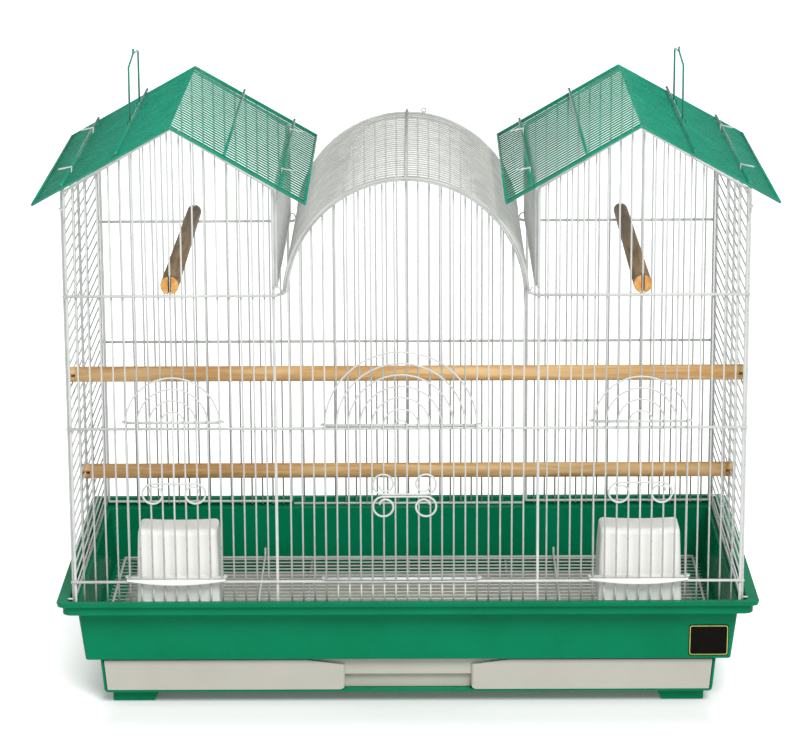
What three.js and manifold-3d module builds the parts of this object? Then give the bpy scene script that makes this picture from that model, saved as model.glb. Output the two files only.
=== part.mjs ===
// Canary breeding cage: a plastic tub with a drawer, and a wire cage with two gabled towers and a dome.
// Millimetres, +Z up. The origin is on the table under the middle of the cage, the doors face -Y.
import * as THREE from 'three';
import { mergeVertices } from 'three/addons/utils/BufferGeometryUtils.js';
import Module from 'manifold-3d';

const wasm = await Module();
wasm.setup();

// ---------------------------------------------------------------- driving dimensions

// Clearances
const CLEAR = 0.3; // between pieces that touch
const SLIDE_CLEAR = 0.8; // beside the drawer
const SWING_CLEAR = 0.4; // round a rod that a wire loop turns on

// Wire gauges
const WIRE = 1.6; // mesh wires
const ROD = 2.8; // frame wires and cross rods
const TRIM = 0.3; // a rod that ends on another is this much thinner, or that much shorter
const MESH_SET = 0.2; // how far the mesh sits behind the middle of its frame
const STUB_SET = 0.3; // how far the short wires round a door sit in front of it
const WEDGE_WIDTH = 1.5; // flat side of a three-sided wire, for a thickness of 1
const CLIP_WIRE = 1.4;
const SCROLL_WIRE = 2;
const HANDLE_WIRE = 1.8;

// Tub
const RIM_WIDTH = 660;
const RIM_DEPTH = 356;
const RIM_HEIGHT = 110; // rim above the table
const RIM_LIP = 4.5; // height of the outer lip
const RIM_LIP_IN = 1; // how far the lip leans in over its height
const BAND_IN = 5; // the band under the lip, set in from the rim
const BAND_HEIGHT = 9;
const WALL_IN = 18; // top of the wall, set in from the rim
const WALL_TAPER = 6;
const WALL_BOTTOM = 64; // below the rim
const TUB_WALL = 2.6;
const LEDGE_IN = 11.2; // inner edge of the rim, which the cage drops into
const LEDGE_IN_ENDS = 7; // the same at the front and back
const LEDGE_CORNER = 4;
const LEDGE_DEPTH = 7.5;
const FLANGE_IN = 46; // the bottom flange's inner edge, set in from the rim at the sides
const FLANGE_IN_ENDS = 34; // the same at the front and back
const FLANGE_THICK = 3;
const RIM_CORNER = 12;

// Drawer housing, drawer and feet
const HOUSING_IN = 13.5; // from the foot of the tub's wall, at the sides
const HOUSING_IN_ENDS = 5; // the same at the front and back
const HOUSING_TAPER = 3.2;
const HOUSING_BOTTOM = 98.5; // below the rim
const HOUSING_WALL = 2.4;
const DRAWER_HEIGHT = 29.6;
const DRAWER_WALL = 2.4;
const DRAWER_TRAY_HEIGHT = 22.6;
const DRAWER_FRONT_THICK = 12;
const DRAWER_BACK_GAP = 6;
const PULL_HALF = 60;
const PULL_FLARE = 36; // how much wider the pull is at its top, each side
const PULL_FLARE_DROP = 5;
const PULL_DEPTH = 9; // finger room under the lip
const PULL_LIP_DEPTH = 3.5;
const PULL_LIP_HEIGHT = 15;
const FOOT_IN = 7.3; // from the housing's lower edge
const FOOT_LENGTH = 45.5;
const FOOT_DEPTH = 36;
const FOOT_INSET = 9; // from the housing's end
const FOOT_CHAMFER = 6;

// Name plate
const PLATE_WIDTH = 37.4;
const PLATE_HEIGHT = 31.6;
const PLATE_THICK = 0.8;
const PLATE_CORNER = 2.5;
const PLATE_IN = 45.5; // its middle, from the rim's end
const PLATE_DROP = 44.8; // its middle, below the rim

// Wire cage: the front has COLUMNS equal pitches between its corner posts
const POST_PLAY = 3.04; // from the rim's inner edge to the side frames
const PANEL_PLAY = 2.2; // from the rim's inner edge to the front and back frames
const COLUMNS = 58;
const TOWER_COLUMNS = 18;
const SKIRT = 5.7; // how far the wires reach below the rim
const LOW_ROD = 18.5; // heights above the rim
const MID_ROD = 167.3;
const TOWER_ROD = 293.5;
const RIDGE = 454.4;
const RIDGE_SHIFT = 3.8; // from the middle of the tower towards the dome
const EAVE_DROP = 73.7; // ridge to eave tips
const OUTER_OVERHANG = 25.14; // past the tower's posts
const INNER_OVERHANG = 27.44;
const ROOF_OVERHANG = 7.7; // past the front and back frames
const ROOF_ROWS = 32;
const CLIP_BAR_RUN = 98; // from the ridge, measured level
const HANDLE_BAR_RUN = 48;
const DOME_IN = 7.04; // from the towers' inner posts to the hoops
const DOME_FOOT = 298.5;
const DOME_DROP = 7; // from the hoops' feet down to their centre
const DOME_STEPS = 10;
const APEX_SINK = 0.1; // the edge hoops are thicker, and hold the apex rod
const SIDE_ROWS = 35;
const SIDE_POSTS = [-48, 2, 62]; // uprights of the side panels, along Y
const LUG_REACH = 7.5; // corner lugs that carry the cage on the rim

// Doors
const MAIN_DOOR = [22, 35]; // guide wires
const LEFT_CUP_DOOR = [5, 13];
const RIGHT_CUP_DOOR = [45, 53];
const MAIN_DOOR_HEIGHT = 148.8; // from one bar to the other
const CUP_DOOR_HEIGHT = 150.2;
const HOOK_OUT = 4.2; // door hooks, beside the guide wire
const HOOK_WIRE = 1.8;
const HOOK_TIP = 0.6; // how far a hook's tip reaches past the middle of the guide wire
const GUIDE_PLAY = 0.2; // more room behind a guide wire
const DOOR_BITE = 0.6; // how far bottom bars and door wires are sunk into each other
const ARCH_STEPS = 8;
const MAIN_SCROLL_X = -2.3;
const MAIN_SCROLL_Z = 103.9; // where the two scrolls of the main door meet, above the rim
const CUP_SCROLL_Z = 116.7;
const SCROLL_WIDTH = 61;
const SCROLL_HEIGHT = 21.4;
const SCROLL_STEPS = 8;
const SCROLL_TURN = 320; // degrees

// Cups
const CUP_LIP_THICK = 1.4;
const CUP_WALL = 1.4;
const CUP_HOOD_RISE = 68; // above the rim
const CUP_HOOD_DEPTH = 36;
const CUP_BIN_DEPTH = 58;
const CUP_BIN_BACK = 30; // height of the bin's back wall above the rim
const CUP_BOTTOM = 7; // below the rim
const CUP_LIP_OUT = 8.2;
const CUP_LIP_WIDTH = 92.4;
const CUP_LIP_BOW = 2.6;
const CUP_LIP_DROP = 6;
const CUP_CORNER = 8;
const CUP_DIP = 1.2;
const CUP_SIDE_GAP = 1.06; // to the guide wires
const CUP_SET = 0.05;

// Floor grille
const GRILLE_PLAY = 4; // to the tub's walls at the sides
const GRILLE_PLAY_ENDS = 3; // the same at the front and back
const GRILLE_ROWS = 27;
const GRILLE_BARS = [-200, -100, 0, 100, 200];
const GRILLE_TAB_X = [-148.6, 149.8];
const GRILLE_TAB_Y = 116;
const GRILLE_TAB_RISE = 14;
const GRILLE_TAB_WIDTH = 6;

// Perches
const LONG_PERCH = 14.5;
const UPPER_PERCH_Y = -131;
const UPPER_PERCH_ROW = 19; // side wires that the perches grip, counted from the bottom
const LOWER_PERCH_Y = -24;
const LOWER_PERCH_ROW = 8;
const GABLE_PERCH = 17;
const GABLE_PERCH_COLUMN = 9;
const PERCH_PROUD = 4.2; // past the wires it grips
const PERCH_SLOT = 9;
const PERCH_SIDES = 12;

// Carry handles, clips and hooks
const HANDLE_RISE = 55;
const HANDLE_GAPS = [-3, 7]; // gaps between roof wires that the legs stand in
const HANDLE_KINK = 9;
const HANDLE_KINK_WIDTH = 15;
const HANDLE_KINK_NECK = 5;
const HANDLE_CORNER = 6;
const CLIP_GAPS = [-10, 9];
const CLIP_REACH = 11;
const CLIP_PLAY = 0.3;
const CORNER_HOOK_ROW = 33; // side row under each corner hook
const CORNER_HOOK_TAIL = 12;
const VALLEY_HOOK_RISE = 4;
const RING_HOOK_X = 17;
const RING_HOOK_RADIUS = 3;

// ---------------------------------------------------------------- colours

const GREEN = 0x00835a;
const ROOF_GREEN = 0x2f9a7a;
const WIRE_WHITE = 0xe8ebe8;
const DOME_GREY = 0xc9ccc9;
const CUP_WHITE = 0xf1f1ec;
const DRAWER_GREY = 0xc9c8bb;
const PERCH_TAN = 0xd0a064;
const GABLE_PERCH_BROWN = 0x9c7f5c;
const PLATE_BLACK = 0x14110d;

const plastic = (color) => new THREE.MeshStandardMaterial({ color, roughness: 0.42, metalness: 0 });
const coated = (color) => new THREE.MeshStandardMaterial({ color, roughness: 0.38, metalness: 0.1 });
const wood = (color) => new THREE.MeshStandardMaterial({ color, roughness: 0.68, metalness: 0 });

// ---------------------------------------------------------------- solids

const V = (x, y, z) => new THREE.Vector3(x, y, z);
const X_AXIS = V(1, 0, 0);
const Y_AXIS = V(0, 1, 0);
const Z_AXIS = V(0, 0, 1);

function volumeOf(positions, index) {
  let volume = 0;
  const [a, b, c] = [V(0, 0, 0), V(0, 0, 0), V(0, 0, 0)];
  for (let i = 0; i < index.length; i += 3) {
    a.fromArray(positions, index[i] * 3);
    b.fromArray(positions, index[i + 1] * 3);
    c.fromArray(positions, index[i + 2] * 3);
    volume += a.dot(b.cross(c));
  }
  return volume / 6;
}

// A geometry from points and faces, turned to face out.
function closedGeometry(points, index) {
  const positions = new Float32Array(points.flatMap((p) => [p.x, p.y, p.z]));
  if (volumeOf(positions, index) < 0) {
    for (let i = 0; i < index.length; i += 3) {
      [index[i + 1], index[i + 2]] = [index[i + 2], index[i + 1]];
    }
  }
  const geometry = new THREE.BufferGeometry();
  geometry.setAttribute('position', new THREE.BufferAttribute(positions, 3));
  geometry.setIndex(index);
  return geometry;
}

// A solid through rings of equal length. The ends are capped in a fan from each ring's first point,
// or joined when the loft is a loop.
function loft(rings, loop = false) {
  const count = rings[0].length;
  const index = [];
  const spans = loop ? rings.length : rings.length - 1;
  for (let k = 0; k < spans; k++) {
    const [low, high] = [k * count, ((k + 1) % rings.length) * count];
    for (let i = 0; i < count; i++) {
      const j = (i + 1) % count;
      index.push(low + i, low + j, high + j, low + i, high + j, high + i);
    }
  }
  if (!loop) {
    const last = (rings.length - 1) * count;
    for (let i = 1; i < count - 1; i++) {
      index.push(0, i + 1, i, last, last + i, last + i + 1);
    }
  }
  return closedGeometry(rings.flat(), index);
}

// A wire's outline, in the direction square to its plane and in the one beside it.
const square = (size) => [[-1, -1], [1, -1], [1, 1], [-1, 1]].map(([a, b]) => [(a * size) / 2, (b * size) / 2]);

// Three-sided mesh wire as thick as a square one, flat towards side: 'a' square to its plane, 'b' beside it.
function wedge(size, side, sign) {
  const flat = (sign * size) / 2;
  const wide = (size * WEDGE_WIDTH) / 2;
  const outline = [[flat, -wide], [flat, wide], [-flat, 0]];
  return side === 'a' ? outline : outline.map(([a, b]) => [b, a]);
}

// A wire along points that lie in one plane, mitred at its bends. It can close on itself.
function wire(points, outline, normal, closed = false) {
  const count = points.length;
  const along = (from, to) => points[(to + count) % count].clone().sub(points[from % count]).normalize();
  const rings = points.map((point, i) => {
    const before = closed || i > 0 ? along(i - 1 + count, i) : null;
    const after = closed || i < count - 1 ? along(i, i + 1) : null;
    const sideIn = normal.clone().cross(before ?? after);
    const sideOut = normal.clone().cross(after ?? before);
    const side = sideIn.clone().add(sideOut).divideScalar(1 + sideIn.dot(sideOut));
    return outline.map(([a, b]) => point.clone().addScaledVector(normal, a).addScaledVector(side, b));
  });
  return loft(rings, closed);
}

// Points on a circle in the plane of two directions, by angles in degrees
function arcPoints(center, along, across, radius, from, to, steps) {
  return range(0, steps).map((k) => {
    const angle = THREE.MathUtils.degToRad(from + ((to - from) * k) / steps);
    return center.clone()
      .addScaledVector(along, radius * Math.cos(angle))
      .addScaledVector(across, radius * Math.sin(angle));
  });
}

function toManifold(geometry) {
  const plain = geometry.clone();
  plain.deleteAttribute('normal');
  plain.deleteAttribute('uv');
  const merged = mergeVertices(plain, 1e-4);
  return new wasm.Manifold(new wasm.Mesh({
    numProp: 3,
    vertProperties: merged.attributes.position.array,
    triVerts: new Uint32Array(merged.index.array),
  }));
}

function toGeometry(manifold) {
  const mesh = manifold.getMesh();
  const geometry = new THREE.BufferGeometry();
  geometry.setAttribute('position', new THREE.BufferAttribute(mesh.vertProperties, 3));
  geometry.setIndex(new THREE.BufferAttribute(mesh.triVerts, 1));
  return geometry;
}

const fuse = (geometries) => toGeometry(geometries.map(toManifold).reduce((all, one) => all.add(one)));

const cut = (body, tools) =>
  toGeometry(tools.map(toManifold).reduce((all, one) => all.subtract(one), toManifold(body)));

function box(low, high) {
  const [x, y, z] = [high.x - low.x, high.y - low.y, high.z - low.z];
  return new THREE.BoxGeometry(x, y, z).translate(low.x + x / 2, low.y + y / 2, low.z + z / 2);
}

const mirrorX = (geometry) => closedGeometry(
  pointsOf(geometry).map((p) => V(-p.x, p.y, p.z)),
  Array.from(geometry.index.array),
);

function pointsOf(geometry) {
  const position = geometry.getAttribute('position');
  return Array.from({ length: position.count }, (_, i) => new THREE.Vector3().fromBufferAttribute(position, i));
}

const group = new THREE.Group();
group.name = 'canary_breeding_cage';

function place(name, geometry, material) {
  const mesh = new THREE.Mesh(geometry, material);
  mesh.name = name;
  group.add(mesh);
  return mesh;
}

const range = (from, to) => Array.from({ length: to - from + 1 }, (_, i) => from + i);

// ---------------------------------------------------------------- heights and places

const aboveRim = (rise) => RIM_HEIGHT + rise;

const WALL_FOOT = WALL_IN + WALL_TAPER; // foot of the tub's wall, set in from the rim
const HOUSING_TOP_HALF = RIM_WIDTH / 2 - WALL_FOOT - HOUSING_IN;
const HOUSING_BOTTOM_HALF = HOUSING_TOP_HALF - HOUSING_TAPER;
const HOUSING_HALF_DEPTH = RIM_DEPTH / 2 - WALL_FOOT - HOUSING_IN_ENDS;
const FOOT_OUTER = HOUSING_BOTTOM_HALF - FOOT_IN;
const PLATE_X = RIM_WIDTH / 2 - PLATE_IN;
const GRILLE_HALF_WIDTH = RIM_WIDTH / 2 - WALL_FOOT - TUB_WALL - GRILLE_PLAY - ROD / 2;
const GRILLE_HALF_DEPTH = RIM_DEPTH / 2 - WALL_FOOT - TUB_WALL - GRILLE_PLAY_ENDS - ROD / 2;

const POST_X = RIM_WIDTH / 2 - LEDGE_IN - POST_PLAY - ROD / 2;
const PANEL_Y = RIM_DEPTH / 2 - LEDGE_IN_ENDS - PANEL_PLAY - ROD / 2;
const WIRE_PITCH = (2 * POST_X) / COLUMNS;
const wireX = (column) => (column - COLUMNS / 2) * WIRE_PITCH;
const INNER_POST_X = wireX(COLUMNS - TOWER_COLUMNS);
const RIDGE_X = (POST_X + INNER_POST_X) / 2 - RIDGE_SHIFT;
const OUTER_EAVE_X = POST_X + OUTER_OVERHANG;
const INNER_EAVE_X = INNER_POST_X - INNER_OVERHANG;
const ROOF_DEPTH = 2 * (PANEL_Y + ROOF_OVERHANG);
const DOME_RADIUS = INNER_POST_X - DOME_IN;

const SKIRT_Z = aboveRim(-SKIRT);
const LOW_Z = aboveRim(LOW_ROD);
const MID_Z = aboveRim(MID_ROD);
const TOWER_Z = aboveRim(TOWER_ROD);
const RIDGE_Z = aboveRim(RIDGE);

// Layers of a wire panel, measured outwards from the middle of its frame
const MESH_LAYER = -MESH_SET;
const MESH_FRONT = MESH_LAYER + WIRE / 2;
const ROD_LAYER = MESH_FRONT + CLEAR + ROD / 2;
const ROD_FRONT = ROD_LAYER + ROD / 2;
const TOP_BAR_LAYER = STUB_SET + WIRE / 2 + CLEAR + ROD / 2;
const DOOR_LAYER = TOP_BAR_LAYER + ROD / 2 + CLEAR + WIRE / 2;
const DOOR_FRONT = DOOR_LAYER + WIRE / 2;
const BOTTOM_BAR_LAYER = DOOR_LAYER - WIRE / 2 + DOOR_BITE - ROD / 2;

// Roof: height of the slope wires' middle line above the table
const OUTER_SLOPE = EAVE_DROP / (OUTER_EAVE_X - RIDGE_X);
const INNER_SLOPE = EAVE_DROP / (RIDGE_X - INNER_EAVE_X);
const slopeAt = (x) => (Math.abs(x) > RIDGE_X ? OUTER_SLOPE : INNER_SLOPE);
const roofZ = (x) => RIDGE_Z - slopeAt(x) * Math.abs(Math.abs(x) - RIDGE_X);
const steepness = (x) => Math.hypot(1, slopeAt(x));
const ROW_PITCH = ROOF_DEPTH / ROOF_ROWS;
const rowY = (row) => row * ROW_PITCH;

// Rods under the roof wires
const UNDER_ROOF = WIRE / 2 + CLEAR + ROD / 2;
const gableZ = (x) => roofZ(x) - UNDER_ROOF * steepness(x);

// Height of a level rod of ROD size that the roof wires rest on
const underRoofZ = (x) =>
  roofZ(x) - (WIRE / 2 + CLEAR) * steepness(x) - (slopeAt(x) * ROD) / 2 - ROD / 2;

// Dome: hoops of DOME_RADIUS, and the panels' arch wire that they rest on
const DOME_Z = aboveRim(DOME_FOOT) - DOME_DROP;
const DOME_START = Math.asin((aboveRim(DOME_FOOT) - DOME_Z) / DOME_RADIUS);

function domeArc(radius, y) {
  const sweep = Math.PI - 2 * DOME_START;
  return range(0, DOME_STEPS).map((k) => {
    const angle = Math.PI - DOME_START - (sweep * k) / DOME_STEPS;
    return V(radius * Math.cos(angle), y, DOME_Z + radius * Math.sin(angle));
  });
}

const facetGap = Math.cos((Math.PI - 2 * DOME_START) / DOME_STEPS / 2);
const ARCH_RADIUS = DOME_RADIUS - (UNDER_ROOF + CLEAR) / facetGap;

// Height of the arch wire at x, on its straight facets
function archZ(x) {
  const arc = domeArc(ARCH_RADIUS, 0);
  const k = arc.findIndex((p, i) => i > 0 && p.x >= x);
  if (k < 0 || x < arc[0].x) return TOWER_Z; // beside the arch wire's feet
  const [a, b] = [arc[k - 1], arc[k]];
  return a.z + ((b.z - a.z) * (x - a.x)) / (b.x - a.x);
}

const inDome = (x) => Math.abs(x) < INNER_POST_X - WIRE_PITCH / 2;
const topZ = (x) => (inDome(x) ? archZ(x) : gableZ(x));

// ---------------------------------------------------------------- tub and drawer

// A rounded rectangle, as points in order
function roundedRing(halfX, halfY, z, radius, steps = 3) {
  const corners = [[1, 1, 0], [-1, 1, 1], [-1, -1, 2], [1, -1, 3]];
  return corners.flatMap(([sx, sy, quarter]) => range(0, steps).map((k) => {
    const angle = ((quarter + k / steps) * Math.PI) / 2;
    return V(
      sx * (halfX - radius) + radius * Math.cos(angle),
      sy * (halfY - radius) + radius * Math.sin(angle),
      z,
    );
  }));
}

function tubGeometry() {
  const ring = (inset, drop, insetEnds = inset, corner = Math.max(RIM_CORNER - inset / 3, 2)) =>
    roundedRing(RIM_WIDTH / 2 - inset, RIM_DEPTH / 2 - insetEnds, aboveRim(-drop), corner);
  const ledgeInset = WALL_IN + TUB_WALL;
  return loft([
    ring(0, 0),
    ring(RIM_LIP_IN, RIM_LIP),
    ring(BAND_IN, RIM_LIP),
    ring(BAND_IN, RIM_LIP + BAND_HEIGHT),
    ring(WALL_IN, RIM_LIP + BAND_HEIGHT),
    ring(WALL_FOOT, WALL_BOTTOM),
    ring(FLANGE_IN, WALL_BOTTOM, FLANGE_IN_ENDS),
    ring(FLANGE_IN, WALL_BOTTOM - FLANGE_THICK, FLANGE_IN_ENDS),
    ring(WALL_FOOT + TUB_WALL, WALL_BOTTOM - FLANGE_THICK),
    ring(ledgeInset, LEDGE_DEPTH),
    ring(LEDGE_IN, LEDGE_DEPTH, LEDGE_IN_ENDS, LEDGE_CORNER),
    ring(LEDGE_IN, 0, LEDGE_IN_ENDS, LEDGE_CORNER),
  ], true);
}

// A bar of one outline in X and Z, running along Y
function alongY(outline, yFrom, yTo) {
  const shape = new THREE.Shape(outline.map(([x, z]) => new THREE.Vector2(x, z)));
  const solid = new THREE.ExtrudeGeometry(shape, { depth: yTo - yFrom, bevelEnabled: false });
  return solid.rotateX(Math.PI / 2).translate(0, yTo, 0);
}

const HOUSING_TOP = aboveRim(-WALL_BOTTOM) - CLEAR;
const HOUSING_FLOOR = aboveRim(-HOUSING_BOTTOM);
const housingLean = (HOUSING_TOP_HALF - HOUSING_BOTTOM_HALF) / (HOUSING_TOP - HOUSING_FLOOR);
const housingHalf = (z) => HOUSING_BOTTOM_HALF + housingLean * (z - HOUSING_FLOOR);

function housingGeometry() {
  const floorTop = HOUSING_FLOOR + HOUSING_WALL;
  const outer = [[-housingHalf(HOUSING_TOP), HOUSING_TOP], [-housingHalf(HOUSING_FLOOR), HOUSING_FLOOR]];
  const inner = [[housingHalf(floorTop) - HOUSING_WALL, floorTop], [housingHalf(HOUSING_TOP) - HOUSING_WALL, HOUSING_TOP]];
  const outline = [
    ...outer,
    [-outer[1][0], outer[1][1]],
    [-outer[0][0], outer[0][1]],
    [inner[1][0], inner[1][1]],
    [inner[0][0], inner[0][1]],
    [-inner[0][0], inner[0][1]],
    [-inner[1][0], inner[1][1]],
  ];
  const back = [outer[0], outer[1], [-outer[1][0], outer[1][1]], [-outer[0][0], outer[0][1]]];
  return fuse([
    alongY(outline, -HOUSING_HALF_DEPTH, HOUSING_HALF_DEPTH),
    alongY(back, HOUSING_HALF_DEPTH - HOUSING_WALL, HOUSING_HALF_DEPTH),
  ]);
}

const DRAWER_BOTTOM = HOUSING_FLOOR + HOUSING_WALL + CLEAR;
const DRAWER_TOP = DRAWER_BOTTOM + DRAWER_HEIGHT;
const DRAWER_FRONT = -HOUSING_HALF_DEPTH - 1;
const DRAWER_BACK = HOUSING_HALF_DEPTH - HOUSING_WALL - DRAWER_BACK_GAP;
const drawerHalf = (z) => housingHalf(z) - HOUSING_WALL - SLIDE_CLEAR;

const DRAWER_FRONT_BACK = DRAWER_FRONT + DRAWER_FRONT_THICK;

const drawerOutline = (low, high, wall = 0) => [
  [-drawerHalf(high) + wall, high],
  [-drawerHalf(low) + wall, low],
  [drawerHalf(low) - wall, low],
  [drawerHalf(high) - wall, high],
];

// The tray lies just behind the drawer's front board: a floor, and a ring of walls standing on it
const TRAY_FRONT = DRAWER_FRONT_BACK + CLEAR;
const TRAY_FLOOR_TOP = DRAWER_BOTTOM + DRAWER_WALL;

const drawerFloorGeometry = () =>
  alongY(drawerOutline(DRAWER_BOTTOM, TRAY_FLOOR_TOP), TRAY_FRONT, DRAWER_BACK);

function drawerWallsGeometry() {
  const [low, high] = [TRAY_FLOOR_TOP + CLEAR, DRAWER_BOTTOM + DRAWER_TRAY_HEIGHT];
  const inside = alongY(
    drawerOutline(low - DRAWER_WALL, high + DRAWER_WALL, DRAWER_WALL),
    TRAY_FRONT + DRAWER_WALL,
    DRAWER_BACK - DRAWER_WALL,
  );
  return cut(alongY(drawerOutline(low, high), TRAY_FRONT, DRAWER_BACK), [inside]);
}

function drawerFrontGeometry() {
  const lipBottom = DRAWER_TOP - PULL_LIP_HEIGHT;
  const flareBottom = DRAWER_TOP - PULL_FLARE_DROP;
  const over = 1;
  const fingerRoom = box(
    V(-PULL_HALF, DRAWER_FRONT - over, DRAWER_BOTTOM - over),
    V(PULL_HALF, DRAWER_FRONT + PULL_DEPTH, lipBottom),
  );
  const lip = alongY([
    [-PULL_HALF, lipBottom - over],
    [PULL_HALF, lipBottom - over],
    [PULL_HALF, flareBottom],
    [PULL_HALF + PULL_FLARE, DRAWER_TOP],
    [PULL_HALF + PULL_FLARE, DRAWER_TOP + over],
    [-PULL_HALF - PULL_FLARE, DRAWER_TOP + over],
    [-PULL_HALF - PULL_FLARE, DRAWER_TOP],
    [-PULL_HALF, flareBottom],
  ], DRAWER_FRONT - over, DRAWER_FRONT + PULL_LIP_DEPTH);
  const board = alongY(drawerOutline(DRAWER_BOTTOM, DRAWER_TOP), DRAWER_FRONT, DRAWER_FRONT_BACK);
  return cut(board, [fingerRoom, lip]);
}

place('tub', tubGeometry(), plastic(GREEN));
place('drawer_housing', housingGeometry(), plastic(GREEN));
place('drawer_floor', drawerFloorGeometry(), plastic(DRAWER_GREY));
place('drawer_walls', drawerWallsGeometry(), plastic(DRAWER_GREY));
place('drawer_front', drawerFrontGeometry(), plastic(DRAWER_GREY));

// Feet: the lower inner corner is cut off
function footGeometry(sideX, sideY) {
  const top = HOUSING_FLOOR - CLEAR;
  const outline = [
    [FOOT_OUTER - FOOT_LENGTH, top],
    [FOOT_OUTER - FOOT_LENGTH + FOOT_CHAMFER, 0],
    [FOOT_OUTER, 0],
    [FOOT_OUTER, top],
  ];
  const end = HOUSING_HALF_DEPTH - FOOT_INSET;
  const [from, to] = sideY > 0 ? [end - FOOT_DEPTH, end] : [-end, -end + FOOT_DEPTH];
  const foot = alongY(outline, from, to);
  const welded = mergeVertices(foot.deleteAttribute('normal').deleteAttribute('uv'), 1e-4);
  return sideX > 0 ? welded : mirrorX(welded);
}

for (const [name, sideX, sideY] of [
  ['foot_front_left', -1, -1],
  ['foot_front_right', 1, -1],
  ['foot_back_left', -1, 1],
  ['foot_back_right', 1, 1],
]) {
  place(name, footGeometry(sideX, sideY), plastic(GREEN));
}

// Name plate on the sloping front wall
const WALL_TOP_DROP = RIM_LIP + BAND_HEIGHT;
const wallLean = WALL_TAPER / (WALL_BOTTOM - WALL_TOP_DROP);
const wallY = (drop) => -(RIM_DEPTH / 2 - WALL_IN) + wallLean * (drop - WALL_TOP_DROP);

function plateGeometry() {
  const ring = (y) => roundedRing(PLATE_WIDTH / 2, PLATE_HEIGHT / 2, 0, PLATE_CORNER)
    .map((p) => V(p.x, y, p.y));
  return loft([ring(-PLATE_THICK / 2), ring(PLATE_THICK / 2)]);
}

const plate = place('name_plate', plateGeometry(), plastic(PLATE_BLACK));
plate.rotation.x = Math.atan(wallLean);
plate.position.set(
  PLATE_X,
  wallY(PLATE_DROP) - (PLATE_THICK / 2 + CLEAR) * Math.hypot(1, wallLean),
  aboveRim(-PLATE_DROP),
);

// ---------------------------------------------------------------- floor grille

const GRILLE_BAR_Z = aboveRim(-WALL_BOTTOM + FLANGE_THICK) + CLEAR + ROD / 2;
const GRILLE_FRAME_Z = GRILLE_BAR_Z + ROD / 2 + CLEAR + WIRE / 2 - MESH_SET;

function grilleGeometry() {
  const [x, y, z] = [GRILLE_HALF_WIDTH, GRILLE_HALF_DEPTH, GRILLE_FRAME_Z];
  const frame = wire([V(-x, -y, z), V(x, -y, z), V(x, y, z), V(-x, y, z)], square(ROD), Z_AXIS, true);
  const meshZ = z + MESH_SET;
  const rowAt = (row) => -y + (2 * y * row) / GRILLE_ROWS;
  const tabRow = Math.round(((GRILLE_TAB_Y + y) * GRILLE_ROWS) / (2 * y));
  const rows = range(1, GRILLE_ROWS - 1).map((row) => {
    const outline = row === tabRow ? square(WIRE) : wedge(WIRE, 'a', -1);
    return wire([V(-x, rowAt(row), meshZ), V(x, rowAt(row), meshZ)], outline, Z_AXIS);
  });
  const bars = GRILLE_BARS.map((at) =>
    wire([V(at, -y, GRILLE_BAR_Z), V(at, y, GRILLE_BAR_Z)], square(ROD), Z_AXIS));
  const tabs = GRILLE_TAB_X.map((at) => {
    const half = GRILLE_TAB_WIDTH / 2;
    return wire([
      V(at - half, rowAt(tabRow), meshZ),
      V(at - half, rowAt(tabRow), z + GRILLE_TAB_RISE),
      V(at + half, rowAt(tabRow), z + GRILLE_TAB_RISE),
      V(at + half, rowAt(tabRow), meshZ),
    ], square(CLIP_WIRE), Y_AXIS);
  });
  return fuse([frame, ...rows, ...bars, ...tabs]);
}

place('floor_grille', grilleGeometry(), coated(WIRE_WHITE));

// ---------------------------------------------------------------- wire panels

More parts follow.
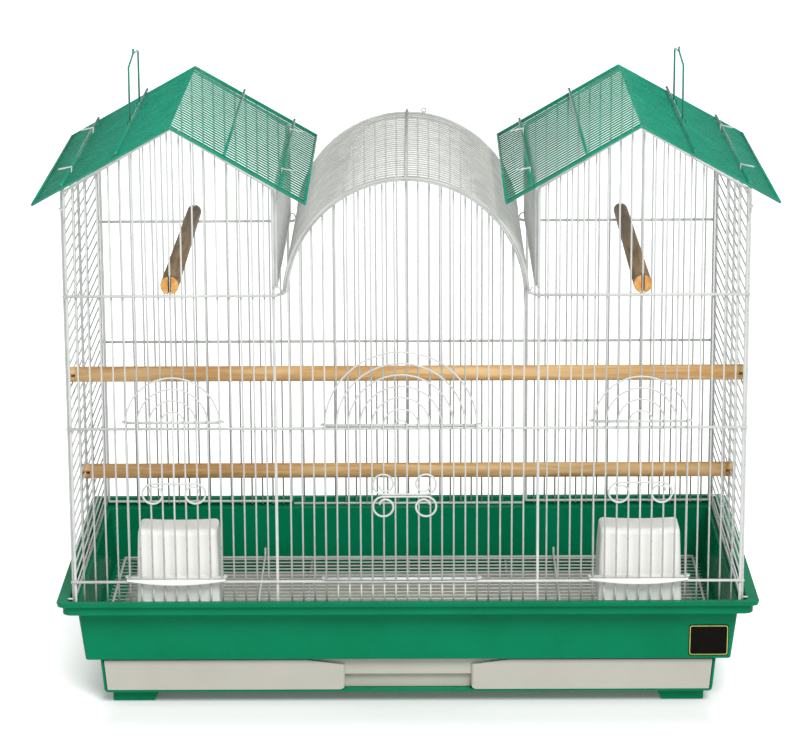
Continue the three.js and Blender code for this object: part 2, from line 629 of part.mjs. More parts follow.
// Front and back panels lie at Y = side * (PANEL_Y + layer).
function endPanel(side, doors) {
  const at = (x, layer, z) => V(x, side * (PANEL_Y + layer), z);
  const upright = (x, from, to, layer, outline) =>
    wire([at(x, layer, from), at(x, layer, to)], outline, Y_AXIS);
  const level = (from, to, z, layer) =>
    wire([at(from, layer, z), at(to, layer, z)], square(ROD), Y_AXIS);
  const thin = square(ROD - TRIM);
  const end = POST_X + (ROD - TRIM) / 2;

  const frame = [wire([at(-INNER_POST_X, 0, SKIRT_Z), at(INNER_POST_X, 0, SKIRT_Z)], thin, Y_AXIS)];
  for (const sign of [-1, 1]) {
    frame.push(wire([
      at(sign * INNER_POST_X, 0, SKIRT_Z),
      at(sign * POST_X, 0, SKIRT_Z),
      ...[POST_X, RIDGE_X, INNER_POST_X].map((x) => at(sign * x, 0, gableZ(x))),
    ], square(ROD), Y_AXIS, true));
    const lugZ = RIM_HEIGHT + CLEAR + (ROD - TRIM) / 2;
    frame.push(wire([at(sign * POST_X, 0, lugZ), at(sign * (POST_X + LUG_REACH), 0, lugZ)], thin, Y_AXIS));
  }
  const arc = domeArc(ARCH_RADIUS, side * PANEL_Y);
  frame.push(wire([
    at(-INNER_POST_X, 0, TOWER_Z),
    at(arc[0].x, 0, TOWER_Z),
    ...arc,
    at(arc[DOME_STEPS].x, 0, TOWER_Z),
    at(INNER_POST_X, 0, TOWER_Z),
  ], thin, Y_AXIS));

  const rods = [
    level(-end, end, MID_Z, ROD_LAYER),
    level(-end, -INNER_POST_X + (ROD - TRIM) / 2, TOWER_Z, ROD_LAYER),
    level(INNER_POST_X - (ROD - TRIM) / 2, end, TOWER_Z, ROD_LAYER),
  ];
  if (doors.length) {
    rods.push(level(-end, end, LOW_Z, ROD_LAYER));
  }

  const meshed = range(1, COLUMNS - 1)
    .filter((column) => Math.abs(Math.abs(wireX(column)) - INNER_POST_X) > ROD);
  const cutBy = (column) => doors.some(([a, b]) => column > a && column < b);
  const outline = doors.length ? square(WIRE) : wedge(WIRE, 'a', side);
  const mesh = meshed.flatMap((column) => {
    const x = wireX(column);
    if (!cutBy(column)) {
      return [upright(x, SKIRT_Z, topZ(x), MESH_LAYER, outline)];
    }
    return [
      upright(x, SKIRT_Z, LOW_Z, STUB_SET, outline),
      upright(x, MID_Z, topZ(x), STUB_SET, outline),
    ];
  });
  return fuse([...frame, ...rods, ...mesh]);
}

place('front_panel', endPanel(-1, [MAIN_DOOR, LEFT_CUP_DOOR, RIGHT_CUP_DOOR]), coated(WIRE_WHITE));
place('back_panel', endPanel(1, []), coated(WIRE_WHITE));

// Side panels lie at X = side * (POST_X + layer), their wires run from front to back.
const SIDE_EDGE_Y = PANEL_Y - ROD - 2 * CLEAR;

// A four-sided frame in a plane of one X
const sideFrame = (x, y, low, high) =>
  wire([V(x, -y, low), V(x, y, low), V(x, y, high), V(x, -y, high)], square(ROD), X_AXIS, true);

const SIDE_TOP_Z = underRoofZ(POST_X);
const SIDE_PITCH = (SIDE_TOP_Z - SKIRT_Z) / SIDE_ROWS;
const sideRowZ = (row) => SKIRT_Z + row * SIDE_PITCH;

function sidePanel(side) {
  const at = (layer, y, z) => V(side * (POST_X + layer), y, z);
  const level = (z, layer, outline) =>
    wire([at(layer, -SIDE_EDGE_Y, z), at(layer, SIDE_EDGE_Y, z)], outline, X_AXIS);
  // Uprights end just under the roof wires that slope down over them
  const top = roofZ(POST_X + ROD_FRONT) - (WIRE / 2 + CLEAR) * steepness(POST_X);
  const upright = (y) =>
    wire([at(ROD_LAYER, y, SKIRT_Z - (ROD - TRIM) / 2), at(ROD_LAYER, y, top)], square(ROD), X_AXIS);
  return fuse([
    sideFrame(side * POST_X, SIDE_EDGE_Y, SKIRT_Z, SIDE_TOP_Z),
    ...SIDE_POSTS.map(upright),
    ...range(1, SIDE_ROWS - 1).map((row) => level(sideRowZ(row), MESH_LAYER, wedge(WIRE, 'a', side))),
  ]);
}

place('left_side_panel', sidePanel(-1), coated(WIRE_WHITE));
place('right_side_panel', sidePanel(1), coated(WIRE_WHITE));

// Tower inner walls: upright wires from the valley to the inner slope of the roof.
const INNER_WALL_LOW = aboveRim(DOME_FOOT);
const INNER_WALL_HIGH = underRoofZ(INNER_POST_X);

function towerWall(side) {
  const x = side * INNER_POST_X;
  const rows = range(-ROOF_ROWS / 2, ROOF_ROWS / 2).filter((row) => Math.abs(rowY(row)) < SIDE_EDGE_Y - ROD * 2);
  const inside = rows.map((row) =>
    wire([V(x, rowY(row), INNER_WALL_LOW), V(x, rowY(row), INNER_WALL_HIGH)], wedge(WIRE, 'a', side), X_AXIS));
  return fuse([sideFrame(x, SIDE_EDGE_Y, INNER_WALL_LOW, INNER_WALL_HIGH), ...inside]);
}

place('left_tower_wall', towerWall(-1), coated(WIRE_WHITE));
place('right_tower_wall', towerWall(1), coated(WIRE_WHITE));

// ---------------------------------------------------------------- roofs

const BAR_LIFT = WIRE / 2 + CLEAR + ROD / 2; // rods lie on the roof wires
const ROOF_REACH = ROOF_DEPTH / 2 + (ROD - TRIM) / 2; // and end just inside the faces of the edge wires

// A point at x on the roof line, moved square to the slope by lift.
function onRoof(x, y, lift) {
  const tilt = Math.sign(x) * Math.sign(Math.abs(x) - RIDGE_X) * slopeAt(x);
  const length = steepness(x);
  return V(x + (tilt * lift) / length, y, roofZ(x) + lift / length);
}

// A rod on top of the roof wires, its flat side on the slope.
function barOnRoof(x) {
  const tilt = Math.atan(Math.sign(x) * Math.sign(Math.abs(x) - RIDGE_X) * slopeAt(x));
  const middle = onRoof(x, 0, BAR_LIFT);
  const bar = wire([V(0, -ROOF_REACH, 0), V(0, ROOF_REACH, 0)], square(ROD), Z_AXIS);
  return bar.rotateY(tilt).translate(middle.x, 0, middle.z);
}

function gableRoof(side) {
  const ends = [OUTER_EAVE_X, RIDGE_X, INNER_EAVE_X].map((x) => [side * x, roofZ(side * x)]);
  const slopeWire = (y, outline) => wire(ends.map(([x, z]) => V(x, y, z)), outline, Y_AXIS);
  const edge = ROOF_ROWS / 2;
  const eave = (x) => {
    const tip = onRoof(side * x, 0, 0);
    return wire([V(tip.x, -ROOF_REACH, tip.z), V(tip.x, ROOF_REACH, tip.z)], square(ROD), Z_AXIS);
  };
  return fuse([
    ...[-edge, edge].map((row) => slopeWire(rowY(row), square(ROD))),
    ...range(1 - edge, edge - 1).map((row) => slopeWire(rowY(row), wedge(WIRE, 'b', side))),
    eave(OUTER_EAVE_X),
    eave(INNER_EAVE_X),
    ...[CLIP_BAR_RUN, HANDLE_BAR_RUN].flatMap((run) => [
      barOnRoof(side * (RIDGE_X + run)),
      barOnRoof(side * (RIDGE_X - run)),
    ]),
  ]);
}

place('left_gable_roof', gableRoof(-1), coated(ROOF_GREEN));
place('right_gable_roof', gableRoof(1), coated(ROOF_GREEN));

function domeRoof() {
  const edge = ROOF_ROWS / 2;
  const hoop = (row, outline) => wire(domeArc(DOME_RADIUS, rowY(row)), outline, Y_AXIS);
  const foot = domeArc(DOME_RADIUS, 0)[DOME_STEPS];
  const level = (x, z, outline) => wire([V(x, -ROOF_REACH, z), V(x, ROOF_REACH, z)], outline, Z_AXIS);
  const apexZ = DOME_Z + DOME_RADIUS + (WIRE / 2) / facetGap + CLEAR + ROD / 2 - APEX_SINK;
  return fuse([
    ...[-edge, edge].map((row) => hoop(row, square(ROD))),
    ...range(1 - edge, edge - 1).map((row) => hoop(row, wedge(WIRE, 'b', -1))),
    level(-foot.x, foot.z, square(ROD)),
    level(foot.x, foot.z, square(ROD)),
    level(0, apexZ, square(ROD)),
  ]);
}

place('dome_roof', domeRoof(), coated(DOME_GREY));

// ---------------------------------------------------------------- doors

// A door lies on the front panel: arches round its middle, a bar at its foot and one at its shoulders.
function doorFrame([left, right], bottomZ, height) {
  const middle = (wireX(left) + wireX(right)) / 2;
  return { middle, half: wireX(right) - middle, bottomZ, topZ: bottomZ + height };
}

const MAIN_FRAME = doorFrame(MAIN_DOOR, LOW_Z + ROD + CLEAR, MAIN_DOOR_HEIGHT);
const CUP_SHELF_Z = LOW_Z + ROD / 2 + CLEAR; // underside of the cup lips, over the low rod
const CUP_DOOR_Z = CUP_SHELF_Z + CUP_LIP_THICK + CLEAR + ROD / 2;

function doorGeometry(columns, frame) {
  const at = (x, layer, z) => V(x, -(PANEL_Y + layer), z);
  const { middle, half, bottomZ, topZ: shoulder } = frame;
  const count = columns[1] - columns[0];
  const pieces = [];
  for (let reach = half; reach > WIRE_PITCH / 4; reach -= WIRE_PITCH) {
    const steps = Math.max(4, 2 * Math.round((ARCH_STEPS * Math.sqrt(reach / half)) / 2));
    const arch = arcPoints(at(middle, DOOR_LAYER, shoulder), X_AXIS, Z_AXIS, reach, 180, 0, steps);
    pieces.push(wire([
      at(middle - reach, DOOR_LAYER, bottomZ),
      ...arch,
      at(middle + reach, DOOR_LAYER, bottomZ),
    ], square(WIRE), Y_AXIS));
  }
  if (count % 2 === 0) {
    const centre = [at(middle, DOOR_LAYER, bottomZ), at(middle, DOOR_LAYER, shoulder + WIRE_PITCH)];
    pieces.push(wire(centre, square(WIRE), Y_AXIS));
  }
  for (const [z, layer] of [[bottomZ, BOTTOM_BAR_LAYER], [shoulder, TOP_BAR_LAYER]]) {
    const reach = half + HOOK_OUT + HOOK_WIRE / 2 + CLEAR;
    pieces.push(wire([at(middle - reach, layer, z), at(middle + reach, layer, z)], square(ROD), Y_AXIS));
    for (const sign of [-1, 1]) {
      const side = middle + sign * (half + HOOK_OUT);
      const behind = MESH_LAYER - WIRE / 2 - CLEAR - GUIDE_PLAY - HOOK_WIRE / 2;
      const tip = middle + sign * (half - HOOK_TIP);
      pieces.push(wire(
        [at(side, layer, z), at(side, behind, z), at(tip, behind, z)],
        square(HOOK_WIRE),
        Z_AXIS,
      ));
    }
  }
  // Weld beads join the shoulder bar to the outermost wire
  for (const sign of [-1, 1]) {
    const x = middle + sign * half;
    const [front, back] = [at(x, DOOR_LAYER, shoulder).y, at(x, TOP_BAR_LAYER, shoulder).y];
    const bead = WIRE * 0.4;
    pieces.push(box(V(x - bead, front, shoulder - bead), V(x + bead, back, shoulder + bead)));
  }
  return fuse(pieces);
}

place('main_door', doorGeometry(MAIN_DOOR, MAIN_FRAME), coated(WIRE_WHITE));
for (const [name, columns] of [['left_cup_door', LEFT_CUP_DOOR], ['right_cup_door', RIGHT_CUP_DOOR]]) {
  place(name, doorGeometry(columns, doorFrame(columns, CUP_DOOR_Z, CUP_DOOR_HEIGHT)), coated(WIRE_WHITE));
}

// Scrolls: a bar whose ends curl into rings. Its rings hang under the bar, or stand on it.
function scrollGeometry(x, barZ, up) {
  const radius = (SCROLL_HEIGHT - SCROLL_WIRE) / 2;
  const y = -(PANEL_Y + DOOR_FRONT + CLEAR + SCROLL_WIRE / 2);
  const sign = up ? 1 : -1;
  const z = barZ + (sign * SCROLL_WIRE) / 2;
  const reach = SCROLL_WIDTH / 2 - radius - SCROLL_WIRE / 2;
  const curl = (side) => arcPoints(
    V(x + side * reach, y, z + sign * radius),
    V(side, 0, 0),
    V(0, 0, -sign),
    radius,
    90,
    90 - SCROLL_TURN,
    SCROLL_STEPS,
  );
  return wire([...curl(-1).reverse(), ...curl(1)], square(SCROLL_WIRE), Y_AXIS);
}

const scrollCentre = (columns) => (wireX(columns[0]) + wireX(columns[1])) / 2;
const seam = aboveRim(MAIN_SCROLL_Z);
place('main_door_upper_scroll', scrollGeometry(MAIN_SCROLL_X, seam + CLEAR / 2, true), coated(WIRE_WHITE));
place('main_door_lower_scroll', scrollGeometry(MAIN_SCROLL_X, seam - CLEAR / 2, false), coated(WIRE_WHITE));
for (const [name, columns] of [['left_cup_scroll', LEFT_CUP_DOOR], ['right_cup_scroll', RIGHT_CUP_DOOR]]) {
  place(name, scrollGeometry(scrollCentre(columns), aboveRim(CUP_SCROLL_Z), false), coated(WIRE_WHITE));
}

// ---------------------------------------------------------------- seed cups

// Built round X = 0: a hood over a bin, open at the back, with a bowed lip out through the front.
function cupGeometry() {
  const front = -(PANEL_Y + MESH_LAYER - WIRE / 2 - CLEAR - GUIDE_PLAY - HOOK_WIRE - CLEAR) - CUP_SET;
  const [low, top] = [aboveRim(-CUP_BOTTOM), aboveRim(CUP_HOOD_RISE)];
  const half = wireX(RIGHT_CUP_DOOR[1]) - scrollCentre(RIGHT_CUP_DOOR) - WIRE / 2 - CUP_SIDE_GAP;
  const [hoodBack, binBack] = [front + CUP_HOOD_DEPTH, front + CUP_BIN_DEPTH];
  const brow = CUP_CORNER * 1.2;
  const profile = (inset) => [
    [front + inset, low + inset],
    [front + inset, top - brow],
    [front + inset + brow * 0.25, top - brow * 0.4 - inset * 0.5],
    [front + inset + brow * 0.8, top - inset],
  ];
  const shellProfile = [...profile(0), [hoodBack, top], [binBack, aboveRim(CUP_BIN_BACK)], [binBack, low]];
  const roomProfile = [
    ...profile(CUP_WALL),
    [binBack + 1, top - CUP_WALL],
    [binBack + 1, aboveRim(CUP_BIN_BACK)],
    [binBack - CUP_WALL, aboveRim(CUP_BIN_BACK)],
    [binBack - CUP_WALL, low + CUP_WALL],
  ];
  const across = (points, reach) => {
    const shape = new THREE.Shape(points.map(([y, z]) => new THREE.Vector2(y, z)));
    const solid = new THREE.ExtrudeGeometry(shape, { depth: 2 * reach, bevelEnabled: false });
    return solid.rotateX(Math.PI / 2).rotateZ(Math.PI / 2).translate(-reach, 0, 0);
  };
  // Seen from the front: rounded shoulders, a slight dip along the top
  const face = (inset) => {
    const corner = CUP_CORNER - inset;
    const side = half - inset;
    const shoulders = [1, -1].flatMap((sign) => {
      const centre = V(sign * (side - corner), 0, top - inset - corner);
      const arc = arcPoints(centre, X_AXIS, Z_AXIS, corner, sign > 0 ? 0 : 90, sign > 0 ? 90 : 180, 3);
      return arc.map((p) => [p.x, p.z]);
    });
    shoulders.splice(4, 0, [0, top - inset - CUP_DIP]);
    return alongY([[-side, low - 1], [side, low - 1], ...shoulders], front - 1, binBack + 2);
  };
  const shell = toManifold(across(shellProfile, half + 1)).intersect(toManifold(face(0)));
  const room = toManifold(across(roomProfile, half + 1)).intersect(toManifold(face(CUP_WALL)));

  // Lip: a tongue between the guide wires, then a wider apron that droops in front of the low rod
  const edge = PANEL_Y + MESH_FRONT + CLEAR;
  const under = CUP_SHELF_Z;
  const over = under + CUP_LIP_THICK;
  const [tongueHalf, trim] = [half - TRIM, TRIM / 3];
  const tongue = box(V(-tongueHalf, -edge - 1, under + trim), V(tongueHalf, front + CUP_WALL / 2, over - trim));
  const stations = range(-3, 3).map((k) => {
    const bow = (k / 3) ** 2;
    const x = (k / 3) * (CUP_LIP_WIDTH / 2);
    const out = -(PANEL_Y + CUP_LIP_OUT - CUP_LIP_BOW * bow);
    const foot = over - CUP_LIP_DROP - CUP_LIP_THICK + bow * CUP_LIP_BOW;
    return [
      V(x, out + CUP_LIP_THICK, under),
      V(x, -edge, under),
      V(x, -edge, over),
      V(x, out + CUP_LIP_THICK, over),
      V(x, out, over - CUP_LIP_THICK),
      V(x, out, foot),
      V(x, out + CUP_LIP_THICK, foot),
    ];
  });
  return toGeometry(shell.subtract(room).add(toManifold(tongue)).add(toManifold(loft(stations))));
}

for (const [name, columns] of [['left_seed_cup', LEFT_CUP_DOOR], ['right_seed_cup', RIGHT_CUP_DOOR]]) {
  place(name, cupGeometry().translate(scrollCentre(columns), 0, 0), plastic(CUP_WHITE));
}

// ---------------------------------------------------------------- perches

// A round rod along Y with a slot in each end that grips a wire. The slots are upright.
function perchGeometry(diameter, reach) {
  const ring = (y, radius) => arcPoints(V(0, y, 0), X_AXIS, Z_AXIS, radius, 0, 330, PERCH_SIDES - 1);
  const [radius, soft] = [diameter / 2, 1];
  const rod = loft([
    ring(-reach, radius - soft),
    ring(-reach + soft, radius),
    ring(reach - soft, radius),
    ring(reach, radius - soft),
  ]);
  const slot = (WIRE * WEDGE_WIDTH) / 2 + CLEAR;
  const slots = [-1, 1].map((sign) => {
    const [from, to] = [sign * (reach - PERCH_SLOT), sign * (reach + 1)].sort((a, b) => a - b);
    return box(V(-slot, from, -diameter), V(slot, to, diameter));
  });
  return cut(rod, slots);
}

for (const [name, row, y] of [
  ['upper_perch', UPPER_PERCH_ROW, UPPER_PERCH_Y],
  ['lower_perch', LOWER_PERCH_ROW, LOWER_PERCH_Y],
]) {
  const perch = perchGeometry(LONG_PERCH, POST_X + PERCH_PROUD);
  perch.rotateY(Math.PI / 2).rotateZ(Math.PI / 2);
  place(name, perch.translate(0, y, sideRowZ(row)), wood(PERCH_TAN));
}

const GABLE_PERCH_Z = TOWER_Z + ROD / 2 + CLEAR + GABLE_PERCH / 2;
for (const [name, column] of [
  ['left_gable_perch', GABLE_PERCH_COLUMN],
  ['right_gable_perch', COLUMNS - GABLE_PERCH_COLUMN],
]) {
  const perch = perchGeometry(GABLE_PERCH, PANEL_Y + DOOR_LAYER - WIRE / 2 - 2 * CLEAR);
  place(name, perch.translate(wireX(column), 0, GABLE_PERCH_Z), wood(GABLE_PERCH_BROWN));
}

// ---------------------------------------------------------------- carry handles

const gapY = (gap) => (gap + 0.5) * ROW_PITCH;

function handleGeometry(side) {
  const hinge = onRoof(side * (RIDGE_X + HANDLE_BAR_RUN), 0, BAR_LIFT);
  const [near, far] = HANDLE_GAPS.map(gapY);
  const top = hinge.z + HANDLE_RISE;
  const middle = (near + far) / 2;
  const at = (y, z) => V(hinge.x, y, z);
  const eye = (ROD * Math.SQRT1_2 + SWING_CLEAR) / Math.cos(Math.PI / 8) + HANDLE_WIRE / 2;
  const [half, neck] = [HANDLE_KINK_WIDTH / 2, HANDLE_KINK_NECK / 2];
  const bail = wire([
    at(near, hinge.z + eye),
    at(near, top - HANDLE_CORNER),
    at(near + HANDLE_CORNER, top),
    at(middle - half, top),
    at(middle - neck, top + HANDLE_KINK),
    at(middle + neck, top + HANDLE_KINK),
    at(middle + half, top),
    at(far - HANDLE_CORNER, top),
    at(far, top - HANDLE_CORNER),
    at(far, hinge.z + eye),
  ], square(HANDLE_WIRE), X_AXIS);
  const rings = [near, far].map((y) =>
    wire(arcPoints(at(y, hinge.z), X_AXIS, Z_AXIS, eye, 22.5, 337.5, 7), square(HANDLE_WIRE), Y_AXIS, true));
  return fuse([bail, ...rings]);
}

place('left_carry_handle', handleGeometry(-1), coated(ROOF_GREEN));
place('right_carry_handle', handleGeometry(1), coated(ROOF_GREEN));

// ---------------------------------------------------------------- clips and hooks

// Roof clips: under the wall's top rod, up through the mesh, over the roof rod and down the slope.
function clipGeometry(side, wallX, wallZ, barX, y) {
  const thick = CLIP_WIRE / 2;
  const down = Math.sign(wallX - RIDGE_X) * side; // down the slope, along X
  const lift = BAR_LIFT + ROD / 2 + CLEAR + thick;
  const bar = onRoof(side * barX, y, lift);
  const inside = down > 0 === side > 0
    ? Math.min(wallX, barX) - ROD / 2 - CLEAR - thick - CLIP_PLAY
    : Math.max(wallX, barX) + ROD / 2 + CLEAR + thick + CLIP_PLAY;
  const outside = down > 0 === side > 0 ? wallX + ROD / 2 + CLEAR + thick : wallX - ROD / 2 - CLEAR - thick;
  const under = wallZ - ROD / 2 - CLEAR - thick;
  const slope = slopeAt(barX);
  const over = (x) => bar.z - down * slope * (side * x - bar.x);
  const tail = barX + Math.sign(wallX - RIDGE_X) * CLIP_REACH;
  return wire([
    V(side * outside, y, wallZ),
    V(side * outside, y, under),
    V(side * inside, y, under),
    V(side * inside, y, over(inside)),
    V(side * tail, y, over(tail)),
  ], square(CLIP_WIRE), Y_AXIS);
}

for (const side of [-1, 1]) {
  const name = side < 0 ? 'left' : 'right';
  for (const gap of CLIP_GAPS) {
    const end = gap < 0 ? 'front' : 'back';
    const outer = clipGeometry(side, POST_X, SIDE_TOP_Z, RIDGE_X + CLIP_BAR_RUN, gapY(gap));
    const inner = clipGeometry(side, INNER_POST_X, INNER_WALL_HIGH, RIDGE_X - CLIP_BAR_RUN, gapY(gap));
    place(`${name}_outer_clip_${end}`, outer, coated(WIRE_WHITE));
    place(`${name}_inner_clip_${end}`, inner, coated(WIRE_WHITE));
  }
}

// Corner hooks hold each side panel's post to the post of the end panel, and have a tail that hangs down.
function cornerHook(sideX, sideY) {
  const thick = WIRE / 2;
  const z = sideRowZ(CORNER_HOOK_ROW + 0.5);
  const off = ROD / 2 + CLEAR + thick;
  const [out, inn] = [sideX * (POST_X + off), sideX * (POST_X - off)];
  const [front, back] = [sideY * (PANEL_Y + off), sideY * (SIDE_EDGE_Y - off)];
  const hook = wire(
    [V(inn, front, z), V(out, front, z), V(out, back, z), V(inn - sideX * thick, back, z)],
    square(WIRE),
    Z_AXIS,
  );
  const tail = wire([V(inn, front, z + thick), V(inn, front, z - CORNER_HOOK_TAIL)], square(WIRE), X_AXIS);
  return fuse([hook, tail]);
}

for (const [name, sideX, sideY] of [
  ['corner_hook_front_left', -1, -1],
  ['corner_hook_front_right', 1, -1],
  ['corner_hook_back_left', -1, 1],
  ['corner_hook_back_right', 1, 1],
]) {
  place(name, cornerHook(sideX, sideY), coated(WIRE_WHITE));
}

// Valley hooks: round the dome's foot rod, with a tail in front of the panel's inner post.
const DOME_FOOT_POINT = domeArc(DOME_RADIUS, 0)[DOME_STEPS];

function valleyHook(sideX, sideY) {
  const thick = CLIP_WIRE / 2;
  const y = sideY * (PANEL_Y + ROD / 2 + CLEAR + thick);
  const off = ROD / 2 + CLEAR + thick;
  const { x, z } = DOME_FOOT_POINT;
  return wire([
    V(sideX * (x - off), y, z + off),
    V(sideX * (x - off), y, z - off),
    V(sideX * (x + off), y, z - off),
    V(sideX * (x + off), y, z + off),
    V(sideX * (INNER_POST_X + ROD), y, z + VALLEY_HOOK_RISE),
  ], square(CLIP_WIRE), Y_AXIS);
}

for (const [name, sideX, sideY] of [
  ['valley_hook_front_left', -1, -1],
  ['valley_hook_front_right', 1, -1],
  ['valley_hook_back_left', -1, 1],
  ['valley_hook_back_right', 1, 1],
]) {
  place(name, valleyHook(sideX, sideY), coated(WIRE_WHITE));
}

// A ring on the dome's back hoop, held by a short hook
function ringHook() {
  const thick = CLIP_WIRE / 2;
  const hoopY = rowY(ROOF_ROWS / 2);
  const off = ROD / 2 + CLEAR + thick;
  const hoop = domeArc(DOME_RADIUS, 0);
  const k = hoop.findIndex((p) => p.x > RING_HOOK_X);
  const [a, b] = [hoop[k - 1], hoop[k]];
  const hoopZ = a.z + ((b.z - a.z) * (RING_HOOK_X - a.x)) / (b.x - a.x);
  const top = hoopZ + off + CLEAR;
  const ringZ = top + RING_HOOK_RADIUS * Math.cos(Math.PI / 8);
  const ring = arcPoints(V(RING_HOOK_X, hoopY + off, ringZ), X_AXIS, Z_AXIS, RING_HOOK_RADIUS, 22.5, 337.5, 7);
  const hook = wire([
    V(RING_HOOK_X, hoopY + off + thick / 2, top),
    V(RING_HOOK_X, hoopY - off, top),
    V(RING_HOOK_X, hoopY - off, hoopZ - off),
  ], square(CLIP_WIRE), X_AXIS);
  return fuse([wire(ring, square(CLIP_WIRE), Y_AXIS, true), hook]);
}

place('dome_ring_hook', ringHook(), coated(WIRE_WHITE));

export default group;
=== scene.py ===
# %% [markdown]
# # A canary breeding cage
#
# The real cage is a green moulded tub with a drawer under it, and a white wire cage that lifts off.
# Two gabled towers roofed in green wire stand left and right of a domed middle.
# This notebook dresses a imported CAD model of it: the CAD gives every size and every joint, and each
# piece made here stands for one CAD node, in the same place.

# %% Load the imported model
import math

import bmesh
import bpy
from mathutils import Matrix, Vector


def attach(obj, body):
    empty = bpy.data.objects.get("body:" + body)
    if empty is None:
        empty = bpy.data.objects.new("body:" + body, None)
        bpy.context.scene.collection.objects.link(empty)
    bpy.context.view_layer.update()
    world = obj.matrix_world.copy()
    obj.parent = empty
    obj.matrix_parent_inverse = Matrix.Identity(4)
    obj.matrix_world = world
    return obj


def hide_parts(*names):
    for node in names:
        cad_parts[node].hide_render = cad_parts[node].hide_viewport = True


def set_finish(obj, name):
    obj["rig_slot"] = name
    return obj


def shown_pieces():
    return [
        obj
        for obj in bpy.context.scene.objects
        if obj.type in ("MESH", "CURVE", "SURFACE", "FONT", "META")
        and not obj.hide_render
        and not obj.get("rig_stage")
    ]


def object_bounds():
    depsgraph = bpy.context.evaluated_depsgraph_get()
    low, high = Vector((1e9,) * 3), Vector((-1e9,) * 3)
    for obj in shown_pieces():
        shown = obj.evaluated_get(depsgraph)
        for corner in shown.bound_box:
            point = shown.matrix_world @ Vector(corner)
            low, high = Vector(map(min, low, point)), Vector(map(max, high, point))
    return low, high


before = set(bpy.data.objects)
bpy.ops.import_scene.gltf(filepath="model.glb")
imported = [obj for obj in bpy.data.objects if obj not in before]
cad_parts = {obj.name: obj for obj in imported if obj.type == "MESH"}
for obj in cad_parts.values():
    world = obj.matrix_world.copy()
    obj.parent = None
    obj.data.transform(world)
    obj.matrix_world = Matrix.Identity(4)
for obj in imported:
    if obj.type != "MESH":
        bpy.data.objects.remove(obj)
cad_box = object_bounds()
print("CAD box, metres:", [[round(v, 4) for v in corner] for corner in cad_box])

# %% [markdown]
# ## Sizes
#
# Lengths are written in millimetres, as a maker would say them, and turned into metres at the end.
# Heights are measured from the rim of the tub, because the cage stands on it.

# %% Sizes of the cage
MM = 0.001
RIM = 110.0
PITCH = 10.84
COLUMNS = 58
POST_X = PITCH * COLUMNS / 2
INNER_X = PITCH * 11
PANEL_Y = 167.4
SIDE_Y = PANEL_Y - 3.4
ROD = 2.8
WIRE = 1.7
CLEAR = 0.3
SKIRT = RIM - 5.7
LOW = RIM + 18.5
MIDDLE = RIM + 167.3
TOWER = RIM + 293.5
LEFT_RIGHT = (("left", -1), ("right", 1))
FRONT_BACK = (("front", -1), ("back", 1))
X_AXIS, Z_AXIS = (1, 0, 0), (0, 0, 1)
print("wire pitch", PITCH, "mm; posts at x = +-", round(POST_X, 2))


def column_x(column):
    return (column - COLUMNS / 2) * PITCH


# %% Sizes of the roofs and the dome
RIDGE_X, RIDGE = 213.0, RIM + 454.4
OUTER_EAVE, INNER_EAVE, EAVE_DROP = 339.5, 91.8, 73.7
ROOF_DEPTH, ROWS = 350.2, 32
ROW = ROOF_DEPTH / ROWS
MESH_WIRE = 1.6
DOME_R, DOME_Z = 112.2, RIM + 291.5
DOME_START = math.asin(7 / DOME_R)
BAR_LIFT = 2.5
UNDER_ROOF = 2.5
CLIP_RUN, HANDLE_RUN = 98, 48


def slope(x):
    reach = OUTER_EAVE - RIDGE_X if abs(x) > RIDGE_X else RIDGE_X - INNER_EAVE
    return EAVE_DROP / reach


def roof_z(x):
    return RIDGE - slope(x) * abs(abs(x) - RIDGE_X)


def gable_z(x):
    return roof_z(x) - UNDER_ROOF * math.hypot(1, slope(x))


def wall_top(x):
    """Middle of a side frame's top rod, just under the roof wires."""
    return roof_z(x) - 1.1 * math.hypot(1, slope(x)) - slope(x) * ROD / 2 - ROD / 2


print("roof slopes", [round(math.degrees(math.atan(slope(x))), 1) for x in (300, 120)], "degrees")

# %% [markdown]
# ## Wire
#
# Almost everything here is round steel wire. A wire is modelled as it is drawn in a factory: a small
# circle is pulled along a path. At each bend the circle is turned to the mitre and widened, so that the
# wire keeps its gauge round the corner. `bmesh.ops.create_circle`, `extrude_edge_only` and `transform`
# do this, one station after the other. A curve with a bevel would be quicker to write, but a mesh can
# be welded with others into one light piece.


# %% Mesh helpers
VERT, EDGE = bmesh.types.BMVert, bmesh.types.BMEdge


def only(geom, kind):
    return [g for g in geom if isinstance(g, kind)]


def mesh_of(bm, name="part"):
    mesh = bpy.data.meshes.new(name)
    bm.to_mesh(mesh)
    bm.free()
    return mesh


# %% A wire along a path
def stations(points, normal, closed):
    """One matrix for each point: across the wire, beside it, along it, and its place."""
    count = len(points)
    frames = []
    for i, point in enumerate(points):
        before = after = None
        if closed or i > 0:
            before = (points[i] - points[i - 1]).normalized()
        if closed or i < count - 1:
            after = (points[(i + 1) % count] - points[i]).normalized()
        side_in = normal.cross(before or after)
        side_out = normal.cross(after or before)
        side = (side_in + side_out) / (1 + side_in.dot(side_out))
        along = side.normalized().cross(normal)
        frame_at = Matrix.Identity(4)
        for column, axis in enumerate((normal, side, -along, point)):
            frame_at.col[column][:3] = axis
        frames.append(frame_at)
    return frames


